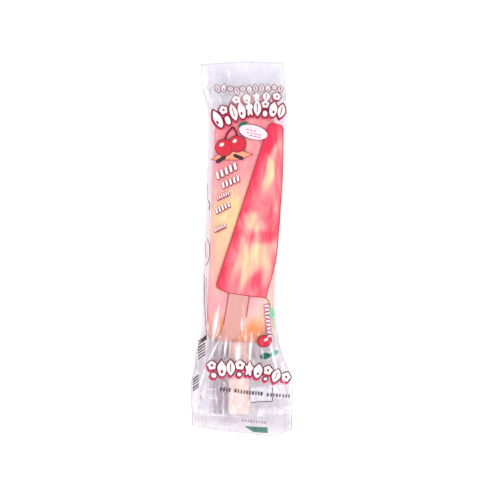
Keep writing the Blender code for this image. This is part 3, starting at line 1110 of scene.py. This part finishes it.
def ellipse(cx, cy, rx, ry, turn=0, steps=28):
    return lobed(cx, cy, 2 * rx, 2 * ry, turn, steps, lambda angle: (1, 1))


def drop(cx, cy, width, height, turn=0):
    """A plump drop with its point up."""

    def reach(angle):
        return 1 - DROP_NARROWS * max(math.sin(angle), 0) ** DROP_POWER, 1

    return lobed(cx, cy, width, height, turn, steps=36, reach=reach)


def blossom(cx, cy, width, height, turn=0):
    """A flower of five round petals."""

    def reach(angle):
        notch = abs(math.cos(PETALS / 2 * (angle - math.pi / 2))) ** PETAL_POWER
        petal = 1 - PETAL_NOTCH + PETAL_NOTCH * notch
        return petal, petal

    return lobed(cx, cy, width, height, turn, steps=60, reach=reach)


def star(cx, cy, width, height, turn=0):
    """A plump star of five points."""

    def reach(angle):
        point = 1 - STAR_NOTCH + STAR_NOTCH * (0.5 + 0.5 * math.cos(STAR_POINTS * (angle - math.pi / 2)))
        return point, point

    return lobed(cx, cy, width, height, turn, steps=50, reach=reach, start=math.pi / 2)


def leaf(cx, cy, width, height, turn=0):
    """A leaf with a point at both ends."""
    rise = [-1 + 2 * k / LEAF_STEPS for k in range(LEAF_STEPS + 1)]
    right = [(width / 2 * (1 - t * t), t * height / 2) for t in rise]
    left = [(-width / 2 * (1 - t * t), t * height / 2) for t in rise[-2:0:-1]]
    return turned(right + left, turn, cx, cy)


def pill(cx, cy, length, width, turn=0):
    """A bar with round ends, length long in all, turned anticlockwise from lying along X."""
    points = []
    for end, first in ((1, -90), (-1, 90)):
        for k in range(PILL_STEPS + 1):
            angle = math.radians(first + 180 / PILL_STEPS * k)
            middle = end * (length - width) / 2
            points.append((middle + width / 2 * math.cos(angle), width / 2 * math.sin(angle)))
    return turned(points, turn, cx, cy)


def band(path, width):
    """A line of even width along a path."""
    left, right = [], []
    for k, (x, y) in enumerate(path):
        before, after = path[max(k - 1, 0)], path[min(k + 1, len(path) - 1)]
        dx, dy = after[0] - before[0], after[1] - before[1]
        length = math.hypot(dx, dy)
        nx, ny = -dy / length * width / 2, dx / length * width / 2
        left.append((x + nx, y + ny))
        right.append((x - nx, y - ny))
    return right + left[::-1]


def runs(path, width, closed=True):
    """Even lines along the sides of a shape with corners, one band for each side."""
    ends = path[1:] + path[:1] if closed else path[1:]
    dots = [ellipse(*p, width / 2, width / 2, steps=8) for p in path]
    return [band([a, b], width) for a, b in zip(path, ends)] + dots


def grown(points, distance):
    """A closed counterclockwise outline moved outward."""
    result = []
    count = len(points)
    for k in range(count):
        (x0, y0), (x1, y1), (x2, y2) = points[k - 1], points[k], points[(k + 1) % count]
        a = Vector((y1 - y0, x0 - x1)).normalized()
        b = Vector((y2 - y1, x1 - x2)).normalized()
        out = (a + b).normalized()
        reach = distance / max(out.dot(a), SHARPEST_GROWN)
        result.append((x1 + out.x * reach, y1 + out.y * reach))
    return result


def all_grown(shapes, distance):
    return [grown(points, distance) for points in shapes]


def shifted(shapes, dx, dy):
    return [[(x + dx, y + dy) for x, y in points] for points in shapes]


def cut_to_grid(bm, step):
    """Cuts flat faces along a fine grid so that they can follow the film."""
    for axis in (0, 1):
        places = [v.co[axis] for v in bm.verts]
        first, last = math.ceil(min(places) / step), math.floor(max(places) / step)
        normal = (1, 0, 0) if axis == 0 else (0, 1, 0)
        for k in range(first, last + 1):
            where = tuple(k * step * n for n in normal)
            geometry = bm.verts[:] + bm.edges[:] + bm.faces[:]
            bmesh.ops.bisect_plane(bm, geom=geometry, plane_co=where, plane_no=normal, dist=CUT_NEAR)


def flat_print(name, outlines, step, side):
    """One mesh of flat outlines, cut along a grid and facing away from the pack's inside."""
    total = bmesh.new()
    for points in outlines:
        bm = bmesh.new()
        bm.faces.new([bm.verts.new((x * MM, y * MM, 0)) for x, y in points])
        bmesh.ops.triangulate(bm, faces=bm.faces)
        cut_to_grid(bm, step)
        part = to_mesh(bm, "part")
        total.from_mesh(part)
        bpy.data.meshes.remove(part)
    bmesh.ops.recalc_face_normals(total, faces=total.faces)
    upside_down = [f for f in total.faces if f.normal.z * side < 0]
    bmesh.ops.reverse_faces(total, faces=upside_down)
    return to_mesh(total, name)


def draped(name, outlines, layer, look, opacity=1, step=FINE_STEP, side=1):
    """Lays outlines along the outside of a film sheet, nearest in layer 0, in two inks or a material."""
    mesh = flat_print(name, outlines, step, side)
    places = np.zeros(len(mesh.vertices) * 3)
    mesh.vertices.foreach_get("co", places)
    x, y = places[0::3].copy(), places[1::3].copy()
    across = across_at(x, y, PRINT_REACH)
    z = sheet_z(across, y, side)
    tilt_x = (sheet_z(across + SLOPE_STEP / CURVES["half_width"](y), y, side) - z) / SLOPE_STEP
    tilt_y = (sheet_z(across, y + SLOPE_STEP, side) - z) / SLOPE_STEP
    out = np.stack([-tilt_x, -tilt_y, np.ones(len(x))], -1) * side
    out = out / np.linalg.norm(out, axis=1)[:, None]
    places = np.stack([x, y, z], -1) + out * (FILM_GAP + LAYER_GAP * layer)
    mesh.vertices.foreach_set("co", places.ravel())
    # Print on the front sheet carries the film's painted highlights and painted shade at its points
    if side > 0:
        set_attribute(mesh, HIGHLIGHT_MARK, marks(CREASE_HIGHLIGHTS, x, y))
        set_attribute(mesh, SHADE_MARK, marks(WRINKLE_SHADES, x, y))
    mesh.update()
    mesh.shade_smooth()
    inks = isinstance(look, tuple)
    mesh.materials.append(ink_material(name + "_ink", *look, opacity) if inks else look)
    return link(name, mesh)


# Each ink is its colour and the deeper tone of its mottle
WHITE_INK = (ink(252, 238, 238), ink(246, 218, 224))
BUBBLE_INK = (ink(244, 222, 234), ink(236, 204, 222))
BOX_INK = (ink(232, 230, 238), ink(222, 218, 228))
SHADOW_INK = (ink(156, 58, 84), ink(130, 40, 66))
MAROON_INK = (ink(128, 18, 48), ink(100, 10, 38))
BROWN_INK = (ink(106, 26, 44), ink(80, 16, 34))
ROSE_INK = (ink(220, 74, 112), ink(200, 52, 94))
RED_INK = (ink(216, 50, 68), ink(184, 28, 50))
GREEN_INK = (ink(32, 114, 88), ink(14, 88, 66))
PALE_GREEN_INK = (ink(110, 178, 150), ink(90, 160, 132))
PALE_INK = (ink(246, 214, 232), ink(226, 180, 206))
MINT_INK = (ink(126, 208, 164), ink(104, 192, 146))
ORANGE_INK = (ink(246, 162, 130), ink(236, 138, 108))
DARK_INK = (ink(74, 46, 60), ink(50, 30, 42))
ROSE_GREY_INK = (ink(150, 96, 118), ink(128, 80, 100))
GREY_INK = (ink(112, 70, 88), ink(88, 56, 70))
BEAD_LINE_INK = (ink(146, 104, 122), ink(122, 84, 102))
STICK_INK = (ink(232, 172, 166), ink(224, 158, 154))
LINE_INK = (ink(160, 34, 48), ink(130, 24, 38))
MAUVE_TONE = (ink(222, 202, 214), ink(208, 186, 200))


def arch(first, last, rise, count):
    """Places along an arch, each with the slope there in degrees."""
    places = []
    for k in range(count):
        t = k / (count - 1)
        x = first[0] + (last[0] - first[0]) * t
        y = first[1] + (last[1] - first[1]) * t + rise * 4 * t * (1 - t)
        slope = (last[1] - first[1] + rise * 4 * (1 - 2 * t)) / (last[0] - first[0])
        places.append((x, y, math.degrees(math.atan(slope))))
    return places


# A blossom and its stalk as shares of the motif's width: the blossom's size, how far its middle is below the
# motif's top, its heart, the height that it takes from the stalk, and the stalk's width
BLOSSOM_SIZE = 1.12
BLOSSOM_BELOW_TOP = 0.52
BLOSSOM_HEART = 0.15
STALK_BELOW = 1.35
STALK_WIDTH = 0.62
# The stalk's middle above the motif's foot as a share of its length, and the shortest stalk in millimetres
STALK_MIDDLE = 0.42
SHORTEST_STALK = 2
# The vein of a leaf: its length as a share of the leaf's, and its width in millimetres
VEIN_SHARE = 0.55
VEIN_WIDTH = 0.55


def up_from(x, y, slope, distance):
    angle = math.radians(slope + 90)
    return x + distance * math.cos(angle), y + distance * math.sin(angle)


def stalked_blossom(x, y, wide, tall, slope):
    """A blossom over a short stalk, and the heart of the blossom."""
    middle = up_from(x, y, slope, tall / 2 - wide * BLOSSOM_BELOW_TOP)
    shapes = [blossom(*middle, wide * BLOSSOM_SIZE, wide * BLOSSOM_SIZE, slope)]
    stalk = tall - wide * STALK_BELOW
    if stalk > SHORTEST_STALK:
        foot = up_from(x, y, slope, stalk * STALK_MIDDLE - tall / 2)
        shapes.append(pill(*foot, stalk, min(stalk, wide * STALK_WIDTH), slope + 90))
    return shapes, [ellipse(*middle, wide * BLOSSOM_HEART, wide * BLOSSOM_HEART)]


def motif_row(places, kinds, wide, heights):
    """Plump motifs along a row, and the dots and veins inside them."""
    shapes, details = [], []
    for k, (x, y, slope) in enumerate(places):
        kind = kinds[k % len(kinds)]
        tall = heights[0] + (heights[1] - heights[0]) * k / (len(places) - 1)
        if kind is blossom:
            flower, heart = stalked_blossom(x, y, wide, tall, slope)
            shapes += flower
            details += heart
            continue
        shapes.append(kind(x, y, wide, tall, slope))
        if kind is leaf:
            details.append(pill(x, y, tall * VEIN_SHARE, VEIN_WIDTH, slope + 90))
        elif kind is drop:
            below, half_wide, half_tall = DROP_DOT
            details.append(ellipse(x, y - tall * below, wide * half_wide, tall * half_tall, slope))
    return shapes, details


# The rows of motifs: the kinds in a row, the places along its arch, a motif's width, and its height at
# the row's two ends
HEAD_KINDS = (drop, blossom, leaf, drop, star, leaf, blossom, drop, leaf)
UPPER_KINDS = (blossom, drop, star, leaf, blossom)
BEAD_KINDS = (leaf, drop, blossom, leaf, blossom, drop, leaf)
LOW_KINDS = (blossom, drop, leaf, blossom, star, drop, blossom, leaf)
HEAD = motif_row(arch((-16.2, 86.4), (26, 91.8), 4, 9), HEAD_KINDS, 5, (12.8, 10))
UPPER = motif_row(arch((-3.4, 98.2), (23, 101), 1.8, 5), UPPER_KINDS, 5, (7.4, 7))
LOW = motif_row(arch((-19.6, -80.2), (28.8, -87.4), 3.8, 9), LOW_KINDS, 5.7, (11.2, 9.2))
BEAD_PLACES = arch((-16.4, 107.6), (-8.2, 106.6), 1, 3) + arch((-3.4, 105.6), (25.8, 107.4), 1.2, 8)
BEADS = motif_row(BEAD_PLACES, BEAD_KINDS, 3.3, (5.8, 5.2))
# Widths of the dark outlines, and how far the glow behind them is shifted, in millimetres
OUTLINE = 1
THIN_OUTLINE = 0.7
LOW_OUTLINE = 0.8
FINE_OUTLINE = 0.5
HEAD_GLOW = (-0.5, -0.75)
LOW_GLOW = (-0.6, -1.2)

# Short tilted rows of bars at the left: middle x and y, turn, count and size
SMALL_ROWS = (
    (-10.4, 51.8, 27, 5, 2.9),
    (-7.6, 44.6, 25, 5, 2.4),
    (-12.6, 35.4, 24, 6, 1.35),
    (-12.8, 27.4, 28, 5, 2),
    (-14.6, 14, 26, 6, 1.25),
)
# A bar of these rows: its lean from the row in degrees, then as shares of its size how far it is from the
# next, its length and its width. Its shadow is grown and shifted in millimetres.
SMALL_LEAN = 76
SMALL_PITCH = 1.12
SMALL_LENGTH = 1.72
SMALL_WIDTH = 0.56
SMALL_SHADOW = (0.38, 0.15, -0.45)
# The column of little bars at the right: its ends, rise and count, and how far each bar leans
COLUMN = ((16.2, -37.6), (18.2, -57.6), 0, 9)
COLUMN_LEANS = (14, -10, 8, -16, 12, -6, 18, -12, 10)
COLUMN_BAR = (3.2, 1.35)
COLUMN_OUTLINE = 0.4

# The bubble, the cherries with their shines and stems, and the wedge
BUBBLE = ellipse(7.4, 77.4, 9.6, 4.6, -14)
BUBBLE_OUTLINE = 0.35
CHERRIES = [ellipse(-11.8, 67.2, 5.6, 5.4), ellipse(-3.2, 69.6, 5.4, 5.2), ellipse(14.8, -61, 4.5, 3.7, 20)]
SHINE_PLACES = ((-13.4, 69.2, 1.6, 1.1, 30), (-4.8, 71.6, 1.5, 1, 30), (15.8, -59.9, 1.4, 0.8, 40))
SHINES = [ellipse(*place) for place in SHINE_PLACES]
STEM_PATHS = (((-11.8, 71.4), (-10, 76.4), (-6, 81)), ((-3.2, 73.8), (-3.8, 77.4), (-6, 81)))
STEM_WIDTH = 1.3
WEDGE = [(-20.6, 59.2), (-2, 59), (7, 62.6), (-1.2, 65.6), (-14, 64.4)]
WEDGE_LINE = 0.4
WEDGE_SHADE = [pill(-14, 59.4, 7.6, 2.6, 32), pill(-2.4, 61, 7.2, 2.4, -22)]

# Rows of dashes: start, end, seed, count, height, and the shares of its place that a dash fills
WIDE_FILL = (0.5, 0.88)
BUBBLE_LINES = (
    ((2.4, 79.6), (9.6, 78), 74, 3, 0.6, WIDE_FILL),
    ((2.6, 77.6), (12.6, 75.4), 75, 4, 0.6, WIDE_FILL),
    ((4.6, 75.4), (12.6, 73.8), 76, 3, 0.6, WIDE_FILL),
)
DASHES = (
    ((-14.8, -93.4), (-7.4, -94.3), 71, 4, 2.5, (0.5, 0.78)),
    ((-5.2, -94.5), (14, -96.8), 72, 10, 2.5, (0.5, 0.78)),
    ((16.2, -97.1), (32.6, -99), 73, 8, 2.2, (0.4, 0.66)),
)
LOW_MARKS = (((-0.6, -114.8), (16.6, -116.8), 82, 9, 1.5, (0.3, 0.62)),)
BACK_LINES = (
    ((-20, 40), (20, 40), 83, 9, 1.2, WIDE_FILL),
    ((-20, 36), (20, 36), 84, 9, 1.2, WIDE_FILL),
)

# Thin strokes at the left side, each a path and its width
STROKES = (
    (((-23, 6.6), (-21.6, 3.6), (-21.4, -3), (-22.2, -8), (-24, -10.8)), 0.45),
    (((-24.4, 4.6), (-24.2, -2), (-23.6, -6)), 0.4),
    (((-22.4, 32.4), (-21.2, 29.6), (-21.8, 26)), 0.6),
    (((-23, 44), (-22.8, 36), (-23, 33)), 0.3),
    (((-25, -17), (-24.8, -36), (-23.6, -58)), 0.35),
    (((-23.4, -19), (-23.2, -38), (-22.4, -50)), 0.3),
)
BOX = rounded_box(13, -97.2, 7.2, 4.8, 0.3)
BOX_SIDES = [(6, -102.4), (20.2, -101.8), (20.4, -92.6)]
BOX_LINE = 0.6
BLOCK = [(1.4, -118.8), (17.2, -119.8), (17.4, -123.8), (7.6, -122.9)]
# Slanted bars: the column's two sides, its top and foot, rise, count and seed
BAR_COLUMNS = ((-29.6, -24.4, -58, -71.6, 3.8, 7, 81), (-33, -29, -84, -93.6, 3.4, 5, 82))
BAR_THICK = (0.35, 0.65)
TOP_BAR = [(-27.8, -60.6), (-23.4, -56.4), (-23.2, -60), (-27.4, -62.6)]

# The picture of a pop: its corners, then its stick's, counterclockwise
PICTURE_FOOT = [(-16.6, -25.6), (-8.7, -29), (4.7, -31), (15.7, -32.2)]
PICTURE_SIDE = [(19.6, -18), (22.3, -8), (23.4, 2), (24.7, 18), (26.6, 46), (27, 62)]
PICTURE_TIP = [(27.2, 80.4), (25.8, 82.2), (19.8, 83.6), (17.6, 81.8), (-17, -23.4)]
PICTURE = PICTURE_FOOT + PICTURE_SIDE + PICTURE_TIP
PICTURE_STICK = [(-13.9, -60.6), (-8, -61.2), (-3.6, -57.6), (0.6, -51), (4.7, -31), (-8.7, -29)]
PICTURE_LINE = 0.45
PICTURE_STROKES = (
    ((-8.7, -29), (-12.2, -50)),
    ((4.7, -31), (2.9, -45)),
    ((15.7, -32.2), (17.6, -34.4), (18.6, -37.4)),
)
# A pale mauve field laid on the back sheet, left of the stick's lower end
MAUVE_FIELD = [(-17.4, -64.4), (-21.6, -80), (-22, -98), (-21.4, -110.6), (-9.4, -110.6), (-9.4, -64.4)]


def small_rows():
    """Short tilted rows of little bars down the left of the front."""
    shapes = []
    for x, y, turn, count, size in SMALL_ROWS:
        c, s = math.cos(math.radians(turn)), math.sin(math.radians(turn))
        for k in range(count):
            along = (k - (count - 1) / 2) * size * SMALL_PITCH
            lean = turn + SMALL_LEAN
            shapes.append(pill(x + along * c, y + along * s, size * SMALL_LENGTH, size * SMALL_WIDTH, lean))
    return shapes


def dash_lines(rows):
    """Rows of short plain dashes of uneven length."""
    shapes = []
    for first, last, seed, count, height, fill in rows:
        rng = np.random.default_rng(seed)
        run = math.hypot(last[0] - first[0], last[1] - first[1])
        turn = math.degrees(math.atan2(last[1] - first[1], last[0] - first[0]))
        for k in range(count):
            t = (k + 0.5) / count
            half = run / count * rng.uniform(*fill) / 2
            x, y = first[0] + (last[0] - first[0]) * t, first[1] + (last[1] - first[1]) * t
            corners = [(i * half, j * height / 2) for i, j in ((-1, -1), (1, -1), (1, 1), (-1, 1))]
            shapes.append(turned(corners, turn, x, y))
    return shapes


def slanted_bars(x_from, x_to, top, low, rise, count, seed):
    """Thin slanted bars one below another."""
    rng = np.random.default_rng(seed)
    bars = []
    for k in range(count):
        y = top + (low - top) * k / count
        thick = (top - low) / count * rng.uniform(*BAR_THICK)
        bars.append([(x_from, y - rise - thick), (x_to, y - thick), (x_to, y), (x_from, y - rise)])
    return bars


def print_rows():
    """The rows of motifs and bars, and the bubble's field and stems, which share their colours."""
    small = small_rows()
    grow, across, up = SMALL_SHADOW
    outlines = all_grown(HEAD[0], OUTLINE) + all_grown(UPPER[0], THIN_OUTLINE)
    low_outlines = all_grown(LOW[0], LOW_OUTLINE)
    stems = [band(path, STEM_WIDTH) for path in STEM_PATHS]
    return (
        ("print_white", HEAD[0] + UPPER[0] + LOW[0] + small + SHINES, 4, WHITE_INK),
        ("print_bubble", [BUBBLE], 4, BUBBLE_INK),
        ("print_marks", HEAD[1] + UPPER[1] + LOW[1] + BEADS[1], 5, MAROON_INK),
        ("print_outlines", [*outlines, grown(BUBBLE, BUBBLE_OUTLINE), *stems], 2, MAROON_INK),
        ("print_low_outlines", low_outlines, 2, BROWN_INK),
        ("print_glow", shifted(outlines, *HEAD_GLOW) + shifted(low_outlines, *LOW_GLOW), 1, ROSE_INK),
        ("print_small_shadows", shifted(all_grown(small, grow), across, up), 2, SHADOW_INK),
        ("print_bead_lines", all_grown(BEADS[0], FINE_OUTLINE), 1, BEAD_LINE_INK),
        ("print_beads", BEADS[0], 2, WHITE_INK),
    )


def print_fruit():
    """The cherries, the bubble's lines, the leaves, the column at the right and the wedge."""
    column = [pill(x, y, *COLUMN_BAR, lean) for (x, y, _), lean in zip(arch(*COLUMN), COLUMN_LEANS)]
    return (
        ("print_cherries", CHERRIES, 3, RED_INK),
        ("print_cherry_lines", all_grown(CHERRIES, FINE_OUTLINE) + WEDGE_SHADE, 2, DARK_INK),
        ("print_bubble_lines", dash_lines(BUBBLE_LINES), 5, ROSE_INK, 0.7),
        ("print_leaves", [leaf(0.4, 82.6, 3, 7.4, -62), leaf(15.6, -71.2, 4.6, 8.4, -80)], 3, GREEN_INK),
        ("print_pale_leaves", [leaf(21.6, -69.6, 3.4, 7, -60)], 2, PALE_GREEN_INK),
        ("print_mint", [leaf(19.4, -42.4, 3.6, 8.2, 4)], 2, MINT_INK),
        ("print_pale_mint", [rounded_box(21.4, -48, 0.9, 7, 0.6)], 2, MINT_INK, 0.4),
        ("print_side_marks", all_grown(column, COLUMN_OUTLINE), 3, SHADOW_INK),
        ("print_side_fills", column, 4, PALE_INK),
        ("print_wedge", [WEDGE], 0, ORANGE_INK),
        ("print_wedge_line", runs(WEDGE, WEDGE_LINE), 1, LINE_INK),
    )


def print_details():
    """The dashes, strokes, box, bars and block at the side and the foot of the pack."""
    bars = [bar for column in BAR_COLUMNS for bar in slanted_bars(*column)]
    return (
        ("print_dashes", dash_lines(DASHES), 3, DARK_INK, 0.85),
        ("print_side_strokes", [band(*stroke) for stroke in STROKES], 0, GREY_INK),
        ("print_box", [BOX], 0, BOX_INK, 0.75, BROAD_STEP),
        ("print_box_line", runs(BOX_SIDES, BOX_LINE, False), 1, DARK_INK, 0.8),
        ("print_bars", [*bars, TOP_BAR], 1, DARK_INK),
        ("print_block", [BLOCK], 1, GREEN_INK, 0.85),
        ("print_low_marks", dash_lines(LOW_MARKS), 1, ROSE_GREY_INK, 0.6),
    )


def print_picture():
    """The picture of a marbled pop on its stick."""
    lines = runs(PICTURE, PICTURE_LINE) + [band(path, PICTURE_LINE) for path in PICTURE_STROKES]
    return (
        ("print_picture", [PICTURE], 1, marbled_ink(), 1, BROAD_STEP),
        ("print_picture_stick", [PICTURE_STICK], 0, STICK_INK, 0.8, BROAD_STEP),
        ("print_picture_line", lines, 3, LINE_INK),
    )


def back_print():
    """The lines printed on the back sheet, and the pale mauve field laid on it, which show through the clear
    film.
    """
    return (
        ("back_text_lines", dash_lines(BACK_LINES), 1, DARK_INK, 0.8, FINE_STEP, -1),
        ("back_field", [MAUVE_FIELD], 0, MAUVE_TONE, 0.4, BROAD_STEP, -1),
    )


# The back seam: its middle, width, ends, mesh, wander as a share of its width, and how far it lies under
# the back sheet
FIN_X = -0.0125
FIN_WIDTH = 0.009
FIN_ENDS = (0.1235, -0.1185)
FIN_ROWS = 300
FIN_COLUMNS = 12
FIN_WANDER = 0.02
FIN_WANDER_SIZE = (0.02, 1)
FIN_REACH = 0.99
FIN_GAP = 0.00018
FIN_LOWEST = 0.00004
SEAM_TINT = (0.985, 0.98, 0.99, 1)
SEAM_HAZE = 0.12


def make_fin(material):
    """The back seam: a strip of doubled film folded flat against the back sheet."""
    y = np.repeat(np.linspace(*FIN_ENDS, FIN_ROWS)[:, None], FIN_COLUMNS + 1, 1)
    wander = FIN_WANDER * lattice_noise(y, y * 0, FIN_WANDER_SIZE, seed=91)
    x = FIN_X + FIN_WIDTH * (np.linspace(-0.5, 0.5, FIN_COLUMNS + 1)[None, :] + wander)
    z = np.maximum(sheet_z(across_at(x, y, FIN_REACH), y, -1) - FIN_GAP, FIN_LOWEST)
    faces = grid_faces(FIN_ROWS, FIN_COLUMNS + 1, closed=False)
    return add_object("back_seam", np.stack([x, y, z], -1).reshape(-1, 3), faces, material)


# The camera is straight above the pack. The photograph's frame is 0.3216 m wide at the pack's middle.
FRAME_WIDTH = 0.3216
FRAME_CENTRE = (-0.00134, 0.00603)
FRAME_Z = 0.01
LENS = 100
SENSOR = 36


def make_camera():
    data = bpy.data.cameras.new("camera")
    data.lens = LENS
    data.sensor_width = SENSOR
    camera = link("camera", data)
    camera.location = (*FRAME_CENTRE, FRAME_Z + FRAME_WIDTH * LENS / SENSOR)
    bpy.context.scene.camera = camera


# Lights, as name, place, size across and along, and power. The near softbox lights the film where it falls
# away from the pop's base, and the low strip shows as thin bright lines on the creases.
LIGHTS = (
    ("near_softbox", (0.1, -0.95, 0.95), (0.9, 0.8), 10.5),
    ("far_softbox", (-0.25, 0.95, 0.8), (0.6, 0.4), 3),
    ("left_softbox", (-0.86, 0, 0.8), (0.4, 1), 6.5),
    ("right_softbox", (0.66, 0, 0.92), (0.34, 1), 5),
    ("low_strip", (1.05, 0, 0.42), (0.16, 1.2), 3.5),
)
DOME = ((0, (0.66, 0.64, 0.72, 1)), (0.3, (0.8, 0.79, 0.84, 1)), (1, (1, 1, 1, 1)))
DOME_STRENGTH = 0.84


def make_light():
    for name, place, size, power in LIGHTS:
        data = bpy.data.lights.new(name, "AREA")
        data.shape = "RECTANGLE"
        data.size, data.size_y = size
        data.energy = power
        light = link(name, data)
        light.location = place
        light.rotation_euler = Vector(place).to_track_quat("Z", "Y").to_euler()
    world = bpy.data.worlds.new("studio")
    world.use_nodes = True
    nodes = Nodes(world, "Generated")
    background = world.node_tree.nodes["Background"]
    nodes.feed(background.inputs[0], nodes.tones(nodes.axes()[2], DOME))
    background.inputs[1].default_value = DOME_STRENGTH
    bpy.context.scene.world = world
    bpy.context.scene.view_settings.view_transform = "Standard"


FLOOR_HALF = 3
FLOOR_Z = -0.0004


def make_floor():
    corners = [(i * FLOOR_HALF, j * FLOOR_HALF, FLOOR_Z) for i, j in ((-1, -1), (1, -1), (1, 1), (-1, 1))]
    floor = add_object("floor", corners, [(0, 1, 2, 3)], floor_material(), smooth=False)


make_camera()
make_light()
make_floor()
film = make_film(film_material("clear_film", FILM_TINT))
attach(film, "root")
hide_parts("wrapper")
fin = make_fin(film_material("seam_film", SEAM_TINT, SEAM_HAZE))
contents = [make_pop(ice_material()), make_stick(wood_material())]
prints = [*print_rows(), *print_fruit(), *print_details(), *print_picture(), *back_print()]
for piece in [fin, *contents, *[draped(*row) for row in prints]]:
    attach(piece, "root")
